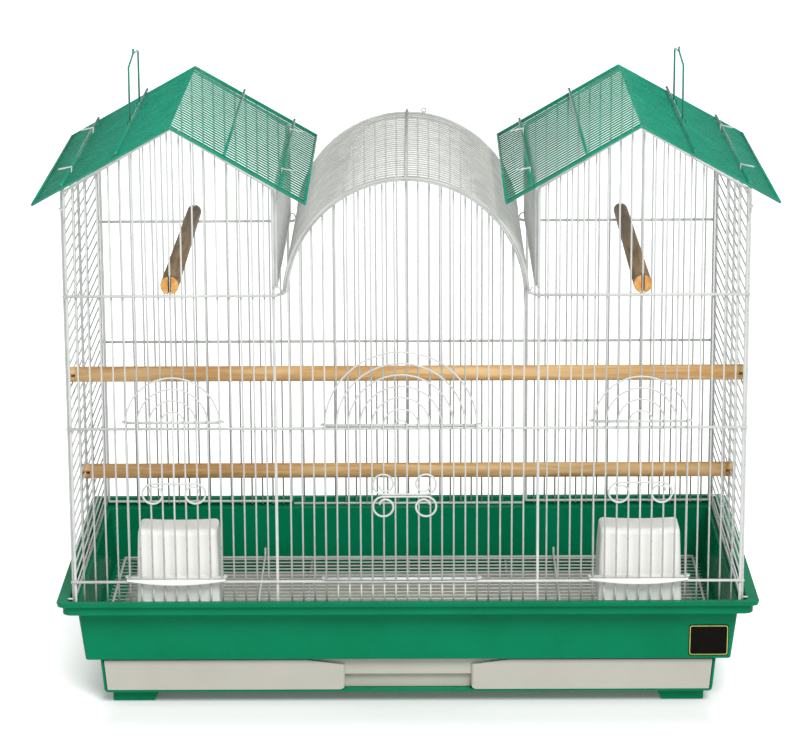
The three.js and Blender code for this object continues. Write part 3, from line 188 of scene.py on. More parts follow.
def wire(points, gauge, normal=(0, 1, 0), closed=False, sides=8):
    """A mesh in millimetres: a round wire through points that lie in one plane."""
    points = [Vector(p) for p in points]
    frames = stations(points, Vector(normal), closed)
    bm = bmesh.new()
    bmesh.ops.create_circle(bm, segments=sides, radius=gauge / 2, cap_ends=False)
    bmesh.ops.transform(bm, matrix=frames[0], verts=bm.verts)
    ring = list(bm.edges)
    route = list(zip(frames, frames[1:] + frames[:1] if closed else frames[1:]))
    for here, there in route:
        pulled = bmesh.ops.extrude_edge_only(bm, edges=ring)["geom"]
        ring = only(pulled, EDGE)
        bmesh.ops.transform(bm, matrix=there @ here.inverted(), verts=only(pulled, VERT))
    if closed:
        bmesh.ops.remove_doubles(bm, verts=bm.verts, dist=gauge / 50)
    else:
        bmesh.ops.holes_fill(bm, edges=bm.edges, sides=sides)
    bmesh.ops.recalc_face_normals(bm, faces=bm.faces)
    for face in bm.faces:
        face.smooth = len(face.verts) == 4
    return mesh_of(bm, "wire")


test = wire([(0, 0, 0), (10, 0, 0), (10, 0, 10)], WIRE)
print("a bent wire has", len(test.polygons), "faces")
bpy.data.meshes.remove(test)


# %% Round the corners of a path
def rounded(points, radius, steps=4, closed=False):
    """The same path with each corner turned into a short arc, as a bending pin leaves it."""
    points = [Vector(p) for p in points]
    count = len(points)
    out = []
    for i, point in enumerate(points):
        if not closed and i in (0, count - 1):
            out.append(point)
            continue
        a = (points[i - 1] - point).normalized()
        b = (points[(i + 1) % count] - point).normalized()
        half = a.angle(b) / 2
        reach = radius / math.tan(half)
        room = 0.45 * min((points[i - 1] - point).length, (points[(i + 1) % count] - point).length)
        reach = min(reach, room)
        bend = reach * math.tan(half)
        center = point + (a + b).normalized() * bend / math.sin(half)
        start, end = point + a * reach - center, point + b * reach - center
        for k in range(steps + 1):
            out.append(center + start.slerp(end, k / steps))
    return out


def arc(center, radius, start, end, steps, along=(1, 0, 0), up=(0, 0, 1)):
    """Points on a circle, by angles in degrees."""
    center, along, up = Vector(center), Vector(along), Vector(up)
    turn = [math.radians(start + (end - start) * k / steps) for k in range(steps + 1)]
    return [center + along * radius * math.cos(t) + up * radius * math.sin(t) for t in turn]


# %% [markdown]
# ## From wires to a piece
#
# A panel is many wires welded together. Each wire's small mesh is copied into one bmesh, then scaled to
# metres. The piece rides on the CAD body that carries it, replaces the CAD nodes it stands for, and
# names the record's material slot.


# %% Gather meshes into one piece
def shifted(mesh, offset):
    """A copy of a mesh, moved."""
    copy = mesh.copy()
    copy.transform(Matrix.Translation(offset))
    return copy


def piece(name, meshes, body, slot, *nodes):
    bm = bmesh.new()
    for mesh in meshes:
        bm.from_mesh(mesh)
        bpy.data.meshes.remove(mesh)
    bmesh.ops.scale(bm, vec=(MM, MM, MM), verts=bm.verts)
    mesh = mesh_of(bm, name)
    thing = bpy.data.objects.new(name, mesh)
    bpy.context.scene.collection.objects.link(thing)
    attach(thing, body)
    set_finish(thing, slot)
    if nodes:
        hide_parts(*nodes)
    print(f"{name}: {len(mesh.polygons)} faces")
    return thing


def cage_wires(name, meshes, node):
    return piece(name, meshes, "cage", "white_wire", node)


# %% [markdown]
# ## Front and back panels
#
# The posts, gables and the arch in the middle are heavier wire, bent in one go. Thin wires stand between
# them, one pitch apart, and level rods are welded across their outside. In front, the wires are cut away
# behind the three doors. The same function makes both panels: `side` is -1 for the front.


# %% Heights of the panel's upper edge
ARCH_R = DOME_R - 2.8


def arch_z(x):
    return DOME_Z + math.sqrt(max(ARCH_R**2 - x * x, 0))


def top_z(x):
    return arch_z(x) if abs(x) < INNER_X - PITCH / 2 else gable_z(x)


def dome_arc(radius, y, steps=30):
    start = math.degrees(DOME_START)
    return arc((0, y, DOME_Z), radius, 180 - start, start, steps)


print("top of the arch", round(arch_z(0), 1), "mm")

# %% Panel
MAIN_DOOR, LEFT_DOOR, RIGHT_DOOR = (22, 35), (5, 13), (45, 53)
MESH_OUT, ROD_OUT, ROD_END = -0.2, 2.05, 1.2


def middle_x(columns):
    return (column_x(columns[0]) + column_x(columns[1])) / 2


def end_panel(side, doors):
    def at(x, out, z):
        return Vector((x, side * (PANEL_Y + out), z))

    def level(x0, x1, z, out=0.0):
        return wire([at(x0, out, z), at(x1, out, z)], ROD, sides=10)

    parts = [level(-INNER_X, INNER_X, SKIRT)]
    for sign in (-1, 1):
        corners = [(INNER_X, SKIRT), (POST_X, SKIRT)]
        corners += [(x, gable_z(x)) for x in (POST_X, RIDGE_X, INNER_X)]
        loop = rounded([at(sign * x, 0, z) for x, z in corners], 3.5, closed=True)
        parts.append(wire(loop, ROD, closed=True, sides=10))
        parts.append(wire([at(sign * POST_X, 0, RIM + 1.4), at(sign * (POST_X + 5), 0, RIM + 1.4)], 2.0))
        parts.append(level(sign * (INNER_X - 1), sign * (POST_X + 1), TOWER, ROD_OUT))
    feet = [at(-INNER_X, 0, TOWER), at(-ARCH_R, 0, TOWER)]
    path = rounded(feet + [at(-ARCH_R, 0, TOWER + 8)], 3)
    bow = dome_arc(ARCH_R, side * PANEL_Y)
    path = path[:-1] + bow
    mirrored = [Vector((-p.x, p.y, p.z)) for p in reversed(path[: len(path) - len(bow)])]
    parts.append(wire(path + mirrored, ROD, sides=10))
    heights = [MIDDLE] + ([LOW] if doors else [])
    reach = POST_X + ROD_END
    parts += [level(-reach, reach, z, ROD_OUT) for z in heights]
    for column in range(1, COLUMNS):
        x = column_x(column)
        if abs(abs(x) - INNER_X) < ROD:
            continue
        if any(a < column < b for a, b in doors):
            parts.append(wire([at(x, 0.3, SKIRT), at(x, 0.3, LOW + 1)], WIRE))
            parts.append(wire([at(x, 0.3, MIDDLE - 1), at(x, 0.3, top_z(x))], WIRE))
        else:
            parts.append(wire([at(x, MESH_OUT, SKIRT), at(x, MESH_OUT, top_z(x))], WIRE))
    return parts


cage_wires("front_wires", end_panel(-1, (MAIN_DOOR, LEFT_DOOR, RIGHT_DOOR)), "front_panel")
cage_wires("back_wires", end_panel(1, ()), "back_panel")

# %% [markdown]
# ## Side panels and tower walls
#
# At the sides the wires run from front to back, and three uprights are welded outside them. The short
# walls above the dome's valleys are the other way round: upright wires in a frame.

# %% Side panels
SIDE_TOP = wall_top(POST_X)
SIDE_ROWS = 35
UPRIGHTS_Y = (-48, 2, 62)
SIDE_PITCH = (SIDE_TOP - SKIRT) / SIDE_ROWS


def wall_frame(x, low, high):
    corners = [(x, -SIDE_Y, low), (x, SIDE_Y, low), (x, SIDE_Y, high), (x, -SIDE_Y, high)]
    return wire(rounded(corners, 3, closed=True), ROD, X_AXIS, closed=True, sides=10)


def side_panel(side):
    mesh_x, rod_x = side * (POST_X - 0.2), side * (POST_X + ROD_OUT)
    parts = [wall_frame(side * POST_X, SKIRT, SIDE_TOP)]
    for row in range(1, SIDE_ROWS):
        z = SKIRT + row * SIDE_PITCH
        parts.append(wire([(mesh_x, -SIDE_Y, z), (mesh_x, SIDE_Y, z)], WIRE, X_AXIS))
    for y in UPRIGHTS_Y:
        ends = [(rod_x, y, SKIRT - ROD_END), (rod_x, y, SIDE_TOP)]
        parts.append(wire(ends, ROD, X_AXIS, sides=10))
    return parts


for name, side in LEFT_RIGHT:
    cage_wires(f"{name}_side_wires", side_panel(side), f"{name}_side_panel")
print("side wires every", round(SIDE_PITCH, 2), "mm")

# %% Tower walls
TOWER_LOW = RIM + 298.5
TOWER_TOP = wall_top(INNER_X)


def tower_wall(side):
    x = side * INNER_X
    parts = [wall_frame(x, TOWER_LOW, TOWER_TOP)]
    for row in range(-ROWS // 2, ROWS // 2 + 1):
        if abs(row * ROW) < SIDE_Y - 5.6:
            parts.append(wire([(x, row * ROW, TOWER_LOW), (x, row * ROW, TOWER_TOP)], WIRE, X_AXIS))
    return parts


for name, side in LEFT_RIGHT:
    cage_wires(f"{name}_tower_wires", tower_wall(side), f"{name}_tower_wall")

# %% [markdown]
# ## Roofs and dome
#
# Each gabled roof is a row of wires bent over the ridge, with heavier wires front and back, rods along
# the eaves and four rods on top: the outer pair holds the clips, and one of the inner pair the handle.


# %% Gabled roofs
MESH_ROWS = range(1 - ROWS // 2, ROWS // 2)
ROOF_REACH = ROOF_DEPTH / 2 + ROD_END


def rod_along(x, z):
    return wire([(x, -ROOF_REACH, z), (x, ROOF_REACH, z)], ROD, Z_AXIS, sides=10)


def in_rows(thin, thick):
    """The thin wire once in each row, the thick one at both ends."""
    parts = [shifted(thin, (0, row * ROW, 0)) for row in MESH_ROWS]
    parts += [shifted(thick, (0, end * ROOF_DEPTH / 2, 0)) for end in (-1, 1)]
    bpy.data.meshes.remove(thin)
    bpy.data.meshes.remove(thick)
    return parts


def on_roof(x, lift):
    """The point above x on the roof, moved square to the slope."""
    tilt = math.copysign(1, x) * math.copysign(slope(x), abs(x) - RIDGE_X)
    length = math.hypot(1, tilt)
    return x + tilt * lift / length, roof_z(x) + lift / length


def gable_roof(side):
    corners = [(side * x, roof_z(side * x)) for x in (OUTER_EAVE, RIDGE_X, INNER_EAVE)]

    def bent(gauge, sides):
        return wire(rounded([(x, 0, z) for x, z in corners], 4), gauge, sides=sides)

    parts = in_rows(bent(MESH_WIRE, 8), bent(ROD, 10))
    parts += [rod_along(*corners[0]), rod_along(*corners[2])]
    for out in (CLIP_RUN, HANDLE_RUN):
        for sign in (-1, 1):
            parts.append(rod_along(*on_roof(side * (RIDGE_X + sign * out), BAR_LIFT - 0.2)))
    return parts


for name, side in LEFT_RIGHT:
    piece(f"{name}_roof_wires", gable_roof(side), "cage", "green_wire", f"{name}_gable_roof")


# %% Dome
def dome():
    hoop = dome_arc(DOME_R, 0)
    foot = hoop[-1]
    parts = in_rows(wire(hoop, MESH_WIRE), wire(hoop, ROD, sides=10))
    for x, z in ((-foot.x, foot.z), (foot.x, foot.z), (0, DOME_Z + DOME_R + 2.3)):
        parts.append(rod_along(x, z))
    return parts


piece("dome_wires", dome(), "cage", "grey_wire", "dome_roof")

# %% [markdown]
# ## Floor grille
#
# The grille lies in the tub over the drawer. Its wires run along the cage, bars under them run across,
# and two bars on top have their back ends turned up to lift it by.

# %% Grille
GRILLE_X, GRILLE_Y, GRILLE_Z = 298.0, 147.0, 53.05
GRILLE_ROWS = 27
UNDER_BARS_X = (-200, -100, 0, 100, 200)
LIFT_BARS_X = (-148.6, 149.8)


def grille():
    x, y = GRILLE_X, GRILLE_Y
    corners = [(-x, -y, GRILLE_Z), (x, -y, GRILLE_Z), (x, y, GRILLE_Z), (-x, y, GRILLE_Z)]
    parts = [wire(rounded(corners, 5, closed=True), ROD, Z_AXIS, closed=True, sides=10)]
    for row in range(1, GRILLE_ROWS):
        at = -y + 2 * y * row / GRILLE_ROWS
        parts.append(wire([(-x, at, GRILLE_Z + 0.2), (x, at, GRILLE_Z + 0.2)], 1.6, Z_AXIS))
    for at in UNDER_BARS_X:
        parts.append(wire([(at, -y, GRILLE_Z - 2.3), (at, y, GRILLE_Z - 2.3)], ROD, Z_AXIS, sides=10))
    for at in LIFT_BARS_X:
        low, end = GRILLE_Z + 1.9, y - 4.6
        tab = [(at, -y, low), (at, end, low), (at, end, low + 9)]
        parts.append(wire(rounded(tab, 3), 2.2, X_AXIS))
    return parts


piece("grille_wires", grille(), "grille", "white_wire", "floor_grille")

# %% [markdown]
# ## Doors
#
# A door is a nest of arches on two level bars. The bars' ends turn back into hooks round the guide wires
# of the panel, so that the door can only slide up.

# %% Doors
DOOR_OUT, TOP_BAR_OUT, BOTTOM_BAR_OUT = 5.3, 2.9, 3.7
HOOK_BEHIND = -2.45


def door(columns, bottom, height):
    half = (columns[1] - columns[0]) * PITCH / 2
    middle = middle_x(columns)

    def at(x, out, z):
        return Vector((middle + x, -(PANEL_Y + out), z))

    top = bottom + height
    parts = []
    reach = half
    while reach > PITCH / 4:
        bow = arc(at(0, DOOR_OUT, top), reach, 180, 0, 20 if reach > 20 else 12)
        parts.append(wire([at(-reach, DOOR_OUT, bottom), *bow, at(reach, DOOR_OUT, bottom)], WIRE))
        reach -= PITCH
    if (columns[1] - columns[0]) % 2 == 0:
        parts.append(wire([at(0, DOOR_OUT, bottom), at(0, DOOR_OUT, top + PITCH)], WIRE))
    for z, out in ((bottom, BOTTOM_BAR_OUT), (top, TOP_BAR_OUT)):
        tip, side = half - 0.6, half + 4.2
        left = [at(-tip, HOOK_BEHIND, z), at(-side, HOOK_BEHIND, z), at(-side, out, z)]
        right = [at(side, out, z), at(side, HOOK_BEHIND, z), at(tip, HOOK_BEHIND, z)]
        parts.append(wire(rounded(left + right, 1.6, 3), 1.8, Z_AXIS))
        parts.append(wire([at(-half - 1, out, z), at(half + 1, out, z)], ROD, sides=10))
    for sign in (-1, 1):
        ends = [at(sign * half, out, top) for out in (TOP_BAR_OUT, DOOR_OUT)]
        parts.append(wire(ends, 1.5, Z_AXIS))
    return parts


LIP = 1.4
MAIN_DOOR_Z = LOW + ROD + CLEAR
CUP_DOOR_Z = LOW + ROD + LIP + 2 * CLEAR
for name, columns, bottom, height in (
    ("main_door", MAIN_DOOR, MAIN_DOOR_Z, 148.8),
    ("left_cup_door", LEFT_DOOR, CUP_DOOR_Z, 150.2),
    ("right_cup_door", RIGHT_DOOR, CUP_DOOR_Z, 150.2),
):
    piece(f"{name}_wires", door(columns, bottom, height), name, "white_wire", name)

# %% [markdown]
# ## Scroll handles
#
# Each door has a wire scroll to lift it by: a short bar whose ends curl into rings. The main door has
# two, back to back. The curl is an arc that tightens a little, as a hand-bent scroll does.


# %% Scrolls
def scroll(x, bar_z, up):
    gauge, radius, width = 2.0, 9.7, 61
    sign = 1 if up else -1
    y = -(PANEL_Y + DOOR_OUT + 1.85)
    z = bar_z + sign * gauge / 2
    reach = width / 2 - radius - gauge / 2
    curls = []
    for side in (-1, 1):
        curl = []
        for k in range(33):
            turn = math.radians(90 - 420 * k / 32)
            r = radius - 0.6 * k / 32 - 5.2 * max(0, (k - 20) / 12) ** 1.5
            out, rise = reach + r * math.cos(turn), radius - r * math.sin(turn)
            curl.append(Vector((x + side * out, y, z + sign * rise)))
        curls.append(curl)
    return [wire(list(reversed(curls[0])) + curls[1], gauge, sides=10)]


MAIN_SCROLL_X, SEAM, CUP_SCROLL_Z = -2.3, RIM + 103.9, RIM + 116.7
for name, sign in (("upper", 1), ("lower", -1)):
    curls = scroll(MAIN_SCROLL_X, SEAM + sign * CLEAR / 2, sign > 0)
    piece(f"main_{name}_scroll", curls, "main_door", "white_wire", f"main_door_{name}_scroll")
for name, columns in (("left", LEFT_DOOR), ("right", RIGHT_DOOR)):
    curls = scroll(middle_x(columns), CUP_SCROLL_Z, False)
    piece(f"{name}_scroll", curls, f"{name}_cup_door", "white_wire", f"{name}_cup_scroll")

# %% [markdown]
# ## Carry handles
#
# A green wire bail stands on each roof, its ends curled into eyes round the roof's rod, with a small
# kink in the middle of the top.

# %% Carry handles
HINGE_X, HINGE_Z = on_roof(RIDGE_X + HANDLE_RUN, BAR_LIFT)


def handle(side):
    x, top = side * HINGE_X, HINGE_Z + 55
    near, far = -2.5 * ROW, 7.5 * ROW
    eye = (ROD * math.sqrt(0.5) + 0.4) / math.cos(math.pi / 8) + 0.9
    middle = (near + far) / 2
    bail = [(x, near, HINGE_Z + eye), (x, near, top), (x, middle - 3, top + 2.5)]
    kink = [(x, middle - 2, top + 9), (x, middle + 2, top + 9)]
    rest = [(x, middle + 3, top + 2.5), (x, far, top), (x, far, HINGE_Z + eye)]
    parts = [wire(rounded(bail + kink + rest, 2.2), 2.0, X_AXIS, sides=10)]
    for y in (near, far):
        ring = arc((x, y, HINGE_Z), eye, 0, 337.5, 15)
        parts.append(wire(ring, 1.8, closed=True, sides=8))
    return parts


for name, side in LEFT_RIGHT:
    piece(f"{name}_bail", handle(side), f"{name}_handle", "green_wire", f"{name}_carry_handle")
print("handle hinge", round(HINGE_X, 2), round(HINGE_Z, 2))

# %% [markdown]
# ## Clips and hooks
#
# Loose bits of bent wire hold the cage together: clips tie the roofs to the walls, hooks tie the
# corners, and a small ring hangs on the dome.

# %% Roof clips
CLIP, CLIP_ROW = 1.4, 9.5
CLIP_OFF = ROD / 2 + CLEAR + CLIP / 2


def clip(side, wall_x, wall_z, bar_x, y):
    """A hook from the wall's top rod up through the mesh, and a hairpin lying outward over the bar."""
    down = 1 if wall_x > RIDGE_X else -1
    off = CLIP_OFF
    bar_at, bar_z = on_roof(side * bar_x, BAR_LIFT + off)
    fall = slope(bar_x)
    inside = abs(bar_at) - down * (off + 0.4)
    hook = [(wall_x + down * off, wall_z), (wall_x + down * off, wall_z - off), (inside, wall_z - off)]
    hook += [(inside, bar_z + fall * off)]
    parts = [wire(rounded([(side * x, y, z) for x, z in hook], 1.2, 3), CLIP)]
    lean = Vector((side * down * 0.2, 0, 1)).normalized()
    tip = abs(bar_at) + down * 9
    pin = [(inside, y - 0.9), (tip, y - 0.75), (tip, y + 0.75), (inside, y + 0.9)]
    path = [(side * x, at, bar_z - 0.2 * down * (x - abs(bar_at))) for x, at in pin]
    return [*parts, wire(rounded(path, 0.7, 3), 1.2, lean)]


for name, side in LEFT_RIGHT:
    for end, gap in (("front", -CLIP_ROW), ("back", CLIP_ROW)):
        outer = clip(side, POST_X, SIDE_TOP, RIDGE_X + CLIP_RUN, gap * ROW)
        inner = clip(side, INNER_X, TOWER_TOP, RIDGE_X - CLIP_RUN, gap * ROW)
        cage_wires(f"{name}_outer_clip_wire_{end}", outer, f"{name}_outer_clip_{end}")
        cage_wires(f"{name}_inner_clip_wire_{end}", inner, f"{name}_inner_clip_{end}")


# %% Corner hooks and valley hooks
def corner_hook(side_x, side_y):
    gauge = 1.6
    z, off = SKIRT + 33.5 * SIDE_PITCH, ROD / 2 + CLEAR + gauge / 2
    out, inn = side_x * (POST_X + off), side_x * (POST_X - off)
    front_y, back_y = side_y * (PANEL_Y + off), side_y * (SIDE_Y - off)
    loop = [(inn, front_y, z), (out, front_y, z), (out, back_y, z), (inn - side_x * 0.8, back_y, z)]
    tail = [(inn, front_y, z + 0.8), (inn, front_y, z - 12)]
    return [wire(rounded(loop, 1.8, 3), gauge, Z_AXIS), wire(tail, gauge, X_AXIS)]


def valley_hook(side_x, side_y):
    off = CLIP_OFF
    y, foot = side_y * (PANEL_Y + off), dome_arc(DOME_R, 0)[-1]
    path = [(foot.x - off, foot.z + off), (foot.x - off, foot.z - off), (foot.x + off, foot.z - off)]
    path += [(foot.x + off, foot.z + off), (INNER_X + ROD, foot.z + 4)]
    return [wire(rounded([(side_x * x, y, z) for x, z in path], 1.4, 3), CLIP)]


for end, side_y in FRONT_BACK:
    for name, side_x in LEFT_RIGHT:
        for kind, bend in (("corner", corner_hook), ("valley", valley_hook)):
            cage_wires(f"{kind}_wire_{end}_{name}", bend(side_x, side_y), f"{kind}_hook_{end}_{name}")


# %% Ring on the dome
def ring_hook():
    x, y, off = 17.0, ROOF_DEPTH / 2, CLIP_OFF
    hoop_z = DOME_Z + math.sqrt(DOME_R**2 - x * x) - 0.4
    top = hoop_z + off + 0.3
    ring = arc((x, y + off, top + 1.0), 2.2, 0, 345, 23)
    hook = [(x, y + off + 0.35, top), (x, y - off, top), (x, y - off, hoop_z - off)]
    return [wire(ring, CLIP, closed=True), wire(rounded(hook, 1.2, 3), CLIP, X_AXIS)]


cage_wires("dome_ring", ring_hook(), "dome_ring_hook")

# %% [markdown]
# ## Moulded plastic
#
# The tub is one thin moulding. It starts as a rounded rectangle, whose edge is pulled through the
# profile of the wall: down the outside, in under the floor and back up the inside. Every fold gets a
# small bevel, because moulded plastic has no sharp edge, and a bevel is what catches the light.

# %% Shade a plastic piece and soften its edges
def soften(thing, width, segments=3, angle=30):
    bevel = thing.modifiers.new("soft edges", "BEVEL")
    bevel.width = width * MM
    bevel.segments = segments
    bevel.limit_method = "ANGLE"
    bevel.angle_limit = math.radians(angle)
    bevel.harden_normals = False
    for polygon in thing.data.polygons:
        polygon.use_smooth = True
    thing.data.set_sharp_from_angle(angle=math.radians(angle))
    weighted = thing.modifiers.new("flat faces", "WEIGHTED_NORMAL")
    weighted.keep_sharp = False
    return thing


def round_off(bm, geom, offset, segments, profile=0.5, affect="EDGES"):
    bmesh.ops.bevel(
        bm, geom=geom, offset=offset, offset_type="OFFSET", segments=segments,
        profile=profile, affect=affect, material=-1,
    )


def box(bm, size, middle):
    bmesh.ops.create_cube(bm, size=1)
    bmesh.ops.scale(bm, vec=size, verts=bm.verts)
    bmesh.ops.translate(bm, vec=middle, verts=bm.verts)


def run(edge, axis):
    """How far an edge goes along one axis."""
    return abs(edge.verts[0].co[axis] - edge.verts[1].co[axis])


# %% Tub
def rounded_rectangle(bm, half_x, half_y, corner, segments):
    bmesh.ops.create_grid(bm, x_segments=1, y_segments=1, size=1)
    bmesh.ops.scale(bm, vec=(half_x, half_y, 1), verts=bm.verts)
    round_off(bm, bm.verts[:], corner, segments, affect="VERTICES")


RIM_X, RIM_Y = 330, 178


def ring_size(inset, inset_ends, drop, corner):
    return (RIM_X - inset, RIM_Y - inset_ends), RIM - drop, corner


def reshape(verts, old, new):
    """Move a ring of the wall from one rounded rectangle to the next one of the profile."""
    for vert in verts:
        for axis in (0, 1):
            far = (abs(vert.co[axis]) - old[0][axis] + old[2]) / old[2]
            vert.co[axis] = math.copysign(new[0][axis] + new[2] * (far - 1), vert.co[axis])
        vert.co.z = new[1]


def tub():
    outside = [(0, 0, 0, 6), (1, 1, 4.5, 6), (5, 5, 4.5, 9), (5, 5, 13.5, 9), (18, 18, 13.5, 5)]
    under = [(24, 24, 64, 3), (46, 34, 64, 3), (46, 34, 61, 3)]
    inside = [(26.6, 26.6, 61, 3), (20.6, 20.6, 7.5, 5), (11.2, 7, 7.5, 4), (11.2, 7, 0, 4)]
    sizes = [ring_size(*step) for step in outside + under + inside]
    bm = bmesh.new()
    rounded_rectangle(bm, *sizes[0][0], sizes[0][2], 8)
    bmesh.ops.translate(bm, vec=(0, 0, sizes[0][1]), verts=bm.verts)
    bmesh.ops.delete(bm, geom=bm.faces[:], context="FACES_ONLY")
    row = bm.edges[:]
    for old, new in zip(sizes, sizes[1:] + sizes[:1]):
        pulled = bmesh.ops.extrude_edge_only(bm, edges=row)["geom"]
        row = only(pulled, EDGE)
        reshape(only(pulled, VERT), old, new)
    bmesh.ops.remove_doubles(bm, verts=bm.verts, dist=0.01)
    bmesh.ops.recalc_face_normals(bm, faces=bm.faces)
    print("tub: open edges", sum(e.is_boundary for e in bm.edges))
    return [mesh_of(bm)]


soften(piece("tub_moulding", tub(), "base", "green_plastic", "tub"), 0.7)

# %% [markdown]
# The housing, the drawer's front board and the feet already have the right shape in CAD. A copy of each
# is welded and its flat faces joined again, and then only the edges need softening. The tray behind the
# board is two CAD nodes, floor and walls; here it is the one moulding that it really is.


# %% Copy a CAD node and soften it
def softened_copy(name, node, body, slot, width, change=None):
    bm = bmesh.new()
    bm.from_mesh(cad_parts[node].data)
    bmesh.ops.remove_doubles(bm, verts=bm.verts, dist=1e-5)
    bmesh.ops.dissolve_limit(bm, angle_limit=math.radians(1), verts=bm.verts, edges=bm.edges)
    if change:
        change(bm)
    bmesh.ops.scale(bm, vec=(1 / MM, 1 / MM, 1 / MM), verts=bm.verts)
    thing = piece(name, [mesh_of(bm)], body, slot, node)
    return soften(thing, width)


def rounded_channel(bm):
    """The channel's two lower edges, from front to back, are rounded."""
    edges = [e for e in bm.edges if all(v.co.z < 13 * MM and abs(v.co.x) > 285 * MM for v in e.verts)]
    edges = [e for e in edges if run(e, 1) > 0.1]
    round_off(bm, edges, 3.5 * MM, 5)
    print("channel: rounded", len(edges), "edges")


softened_copy("housing_moulding", "drawer_housing", "base", "green_plastic", 0.5, rounded_channel)


def rounded_pull(bm):
    """Larger rounds where the front board turns into the finger pull."""
    pull_x, back_y, front_y, pull_top, low_z = 60, -140, -149, 39.5, 20
    for axis, offset, behind in ((1, 5.0, back_y), (2, 3.2, front_y)):
        chosen = []
        for edge in bm.edges:
            ends = [v.co / MM for v in edge.verts]
            along_axis = abs((ends[1] - ends[0]).normalized()[axis]) > 0.9
            near = all(abs(abs(p.x) - pull_x) < 1 and p.y < behind and p.z < pull_top for p in ends)
            if near and along_axis and min(p.z for p in ends) < low_z:
                chosen.append(edge)
        round_off(bm, chosen, offset * MM, 5)
        print("rounded", len(chosen), "edges by", offset, "mm")


def tray():
    """A shallow box: its top face is set in by the wall's thickness and pushed down to the floor."""
    half_top, half_low, front_y, back_y, low, high = 288.4, 286.3, -138.0, 140.6, 14.2, 36.8
    wall, corner = 2.4, 6
    bm = bmesh.new()
    size = (2 * half_top, back_y - front_y, high - low)
    box(bm, size, (0, (back_y + front_y) / 2, (high + low) / 2))
    bottom = [v for v in bm.verts if v.co.z < low + 1]
    bmesh.ops.scale(bm, vec=(half_low / half_top, 1, 1), verts=bottom)
    round_off(bm, [e for e in bm.edges if run(e, 2) > 5 and e.verts[0].co.y > 0], corner, 6)
    bm.normal_update()
    top = [f for f in bm.faces if f.normal.z > 0.9]
    bmesh.ops.inset_region(bm, faces=top, thickness=wall, use_even_offset=True)
    pushed = bmesh.ops.extrude_face_region(bm, geom=top)["geom"]
    bmesh.ops.delete(bm, geom=top, context="FACES_ONLY")
    bmesh.ops.translate(bm, vec=(0, 0, low + wall - high), verts=only(pushed, VERT))
    bmesh.ops.recalc_face_normals(bm, faces=bm.faces)
    print("tray: open edges", sum(e.is_boundary for e in bm.edges))
    return [mesh_of(bm)]


soften(piece("drawer_moulding", tray(), "drawer", "drawer_plastic", "drawer_floor", "drawer_walls"), 0.7)
softened_copy("drawer_front_moulding", "drawer_front", "drawer", "drawer_plastic", 0.8, rounded_pull)
for end, _ in FRONT_BACK:
    for side, _ in LEFT_RIGHT:
        softened_copy(f"foot_moulding_{end}_{side}", f"foot_{end}_{side}", "base", "green_plastic", 1.0)

# %% [markdown]
# ## Seed cups
#
# Each cup is a hooded bin in thin white plastic. A box is cut open behind, its edges are rounded, and
# `solidify` gives it a wall. Its lip, a bowed shelf, comes out between the wires over the low rod.

# %% Cup
CUP_FRONT = -(PANEL_Y - 3.55)
CUP_DEEP, CUP_SHIFT, HOOD_DEEP, BACK_RISE = 58, 1.4, 36, 30
LIP_HALF = 46.2


def edges_where(bm, test):
    return [e for e in bm.edges if all(test(v.co) for v in e.verts)]


def cup_shell(middle):
    y0, y1 = CUP_FRONT, CUP_FRONT + CUP_DEEP
    low, high, half, half_top = RIM - 7, RIM + 68, 40.0, 37.0
    bm = bmesh.new()
    box(bm, (2 * half, y1 - y0, high - low), (0, (y0 + y1) / 2, (low + high) / 2))
    top = [v for v in bm.verts if v.co.z > high - 0.1]
    bmesh.ops.scale(bm, vec=(half_top / half, 1, 1), verts=top)
    hood_end = (0, y0 + HOOD_DEEP, high)
    slant = Vector((0, high - (RIM + BACK_RISE), y1 - hood_end[1]))
    everything = bm.verts[:] + bm.edges[:] + bm.faces[:]
    bmesh.ops.bisect_plane(bm, geom=everything, plane_co=hood_end, plane_no=slant, clear_outer=True)
    hood = edges_where(bm, lambda c: abs(c.y - y0) < 0.1 and c.z > high - 0.1)
    round_off(bm, hood, 6, 3, profile=0.4)
    sides = [e for e in edges_where(bm, lambda c: abs(c.x) > 36) if not e.is_boundary and run(e, 0) < 4]
    round_off(bm, [e for e in sides if e.calc_face_angle(0) > 0.6], 4, 4)
    bmesh.ops.remove_doubles(bm, verts=bm.verts, dist=0.01)
    long_edges = [e for e in bm.edges if run(e, 0) > 30]
    bmesh.ops.subdivide_edges(bm, edges=long_edges, cuts=9, use_grid_fill=True)
    for vert in bm.verts:
        if vert.co.z > high - 14:  # the hood dips a little in the middle
            vert.co.z -= 1.2 * max(0, 1 - (vert.co.x / 34) ** 2)
    bmesh.ops.recalc_face_normals(bm, faces=bm.faces)
    bmesh.ops.solidify(bm, geom=bm.faces[:], thickness=1.4)
    bmesh.ops.translate(bm, vec=(middle, 0, 0), verts=bm.verts)
    return mesh_of(bm)


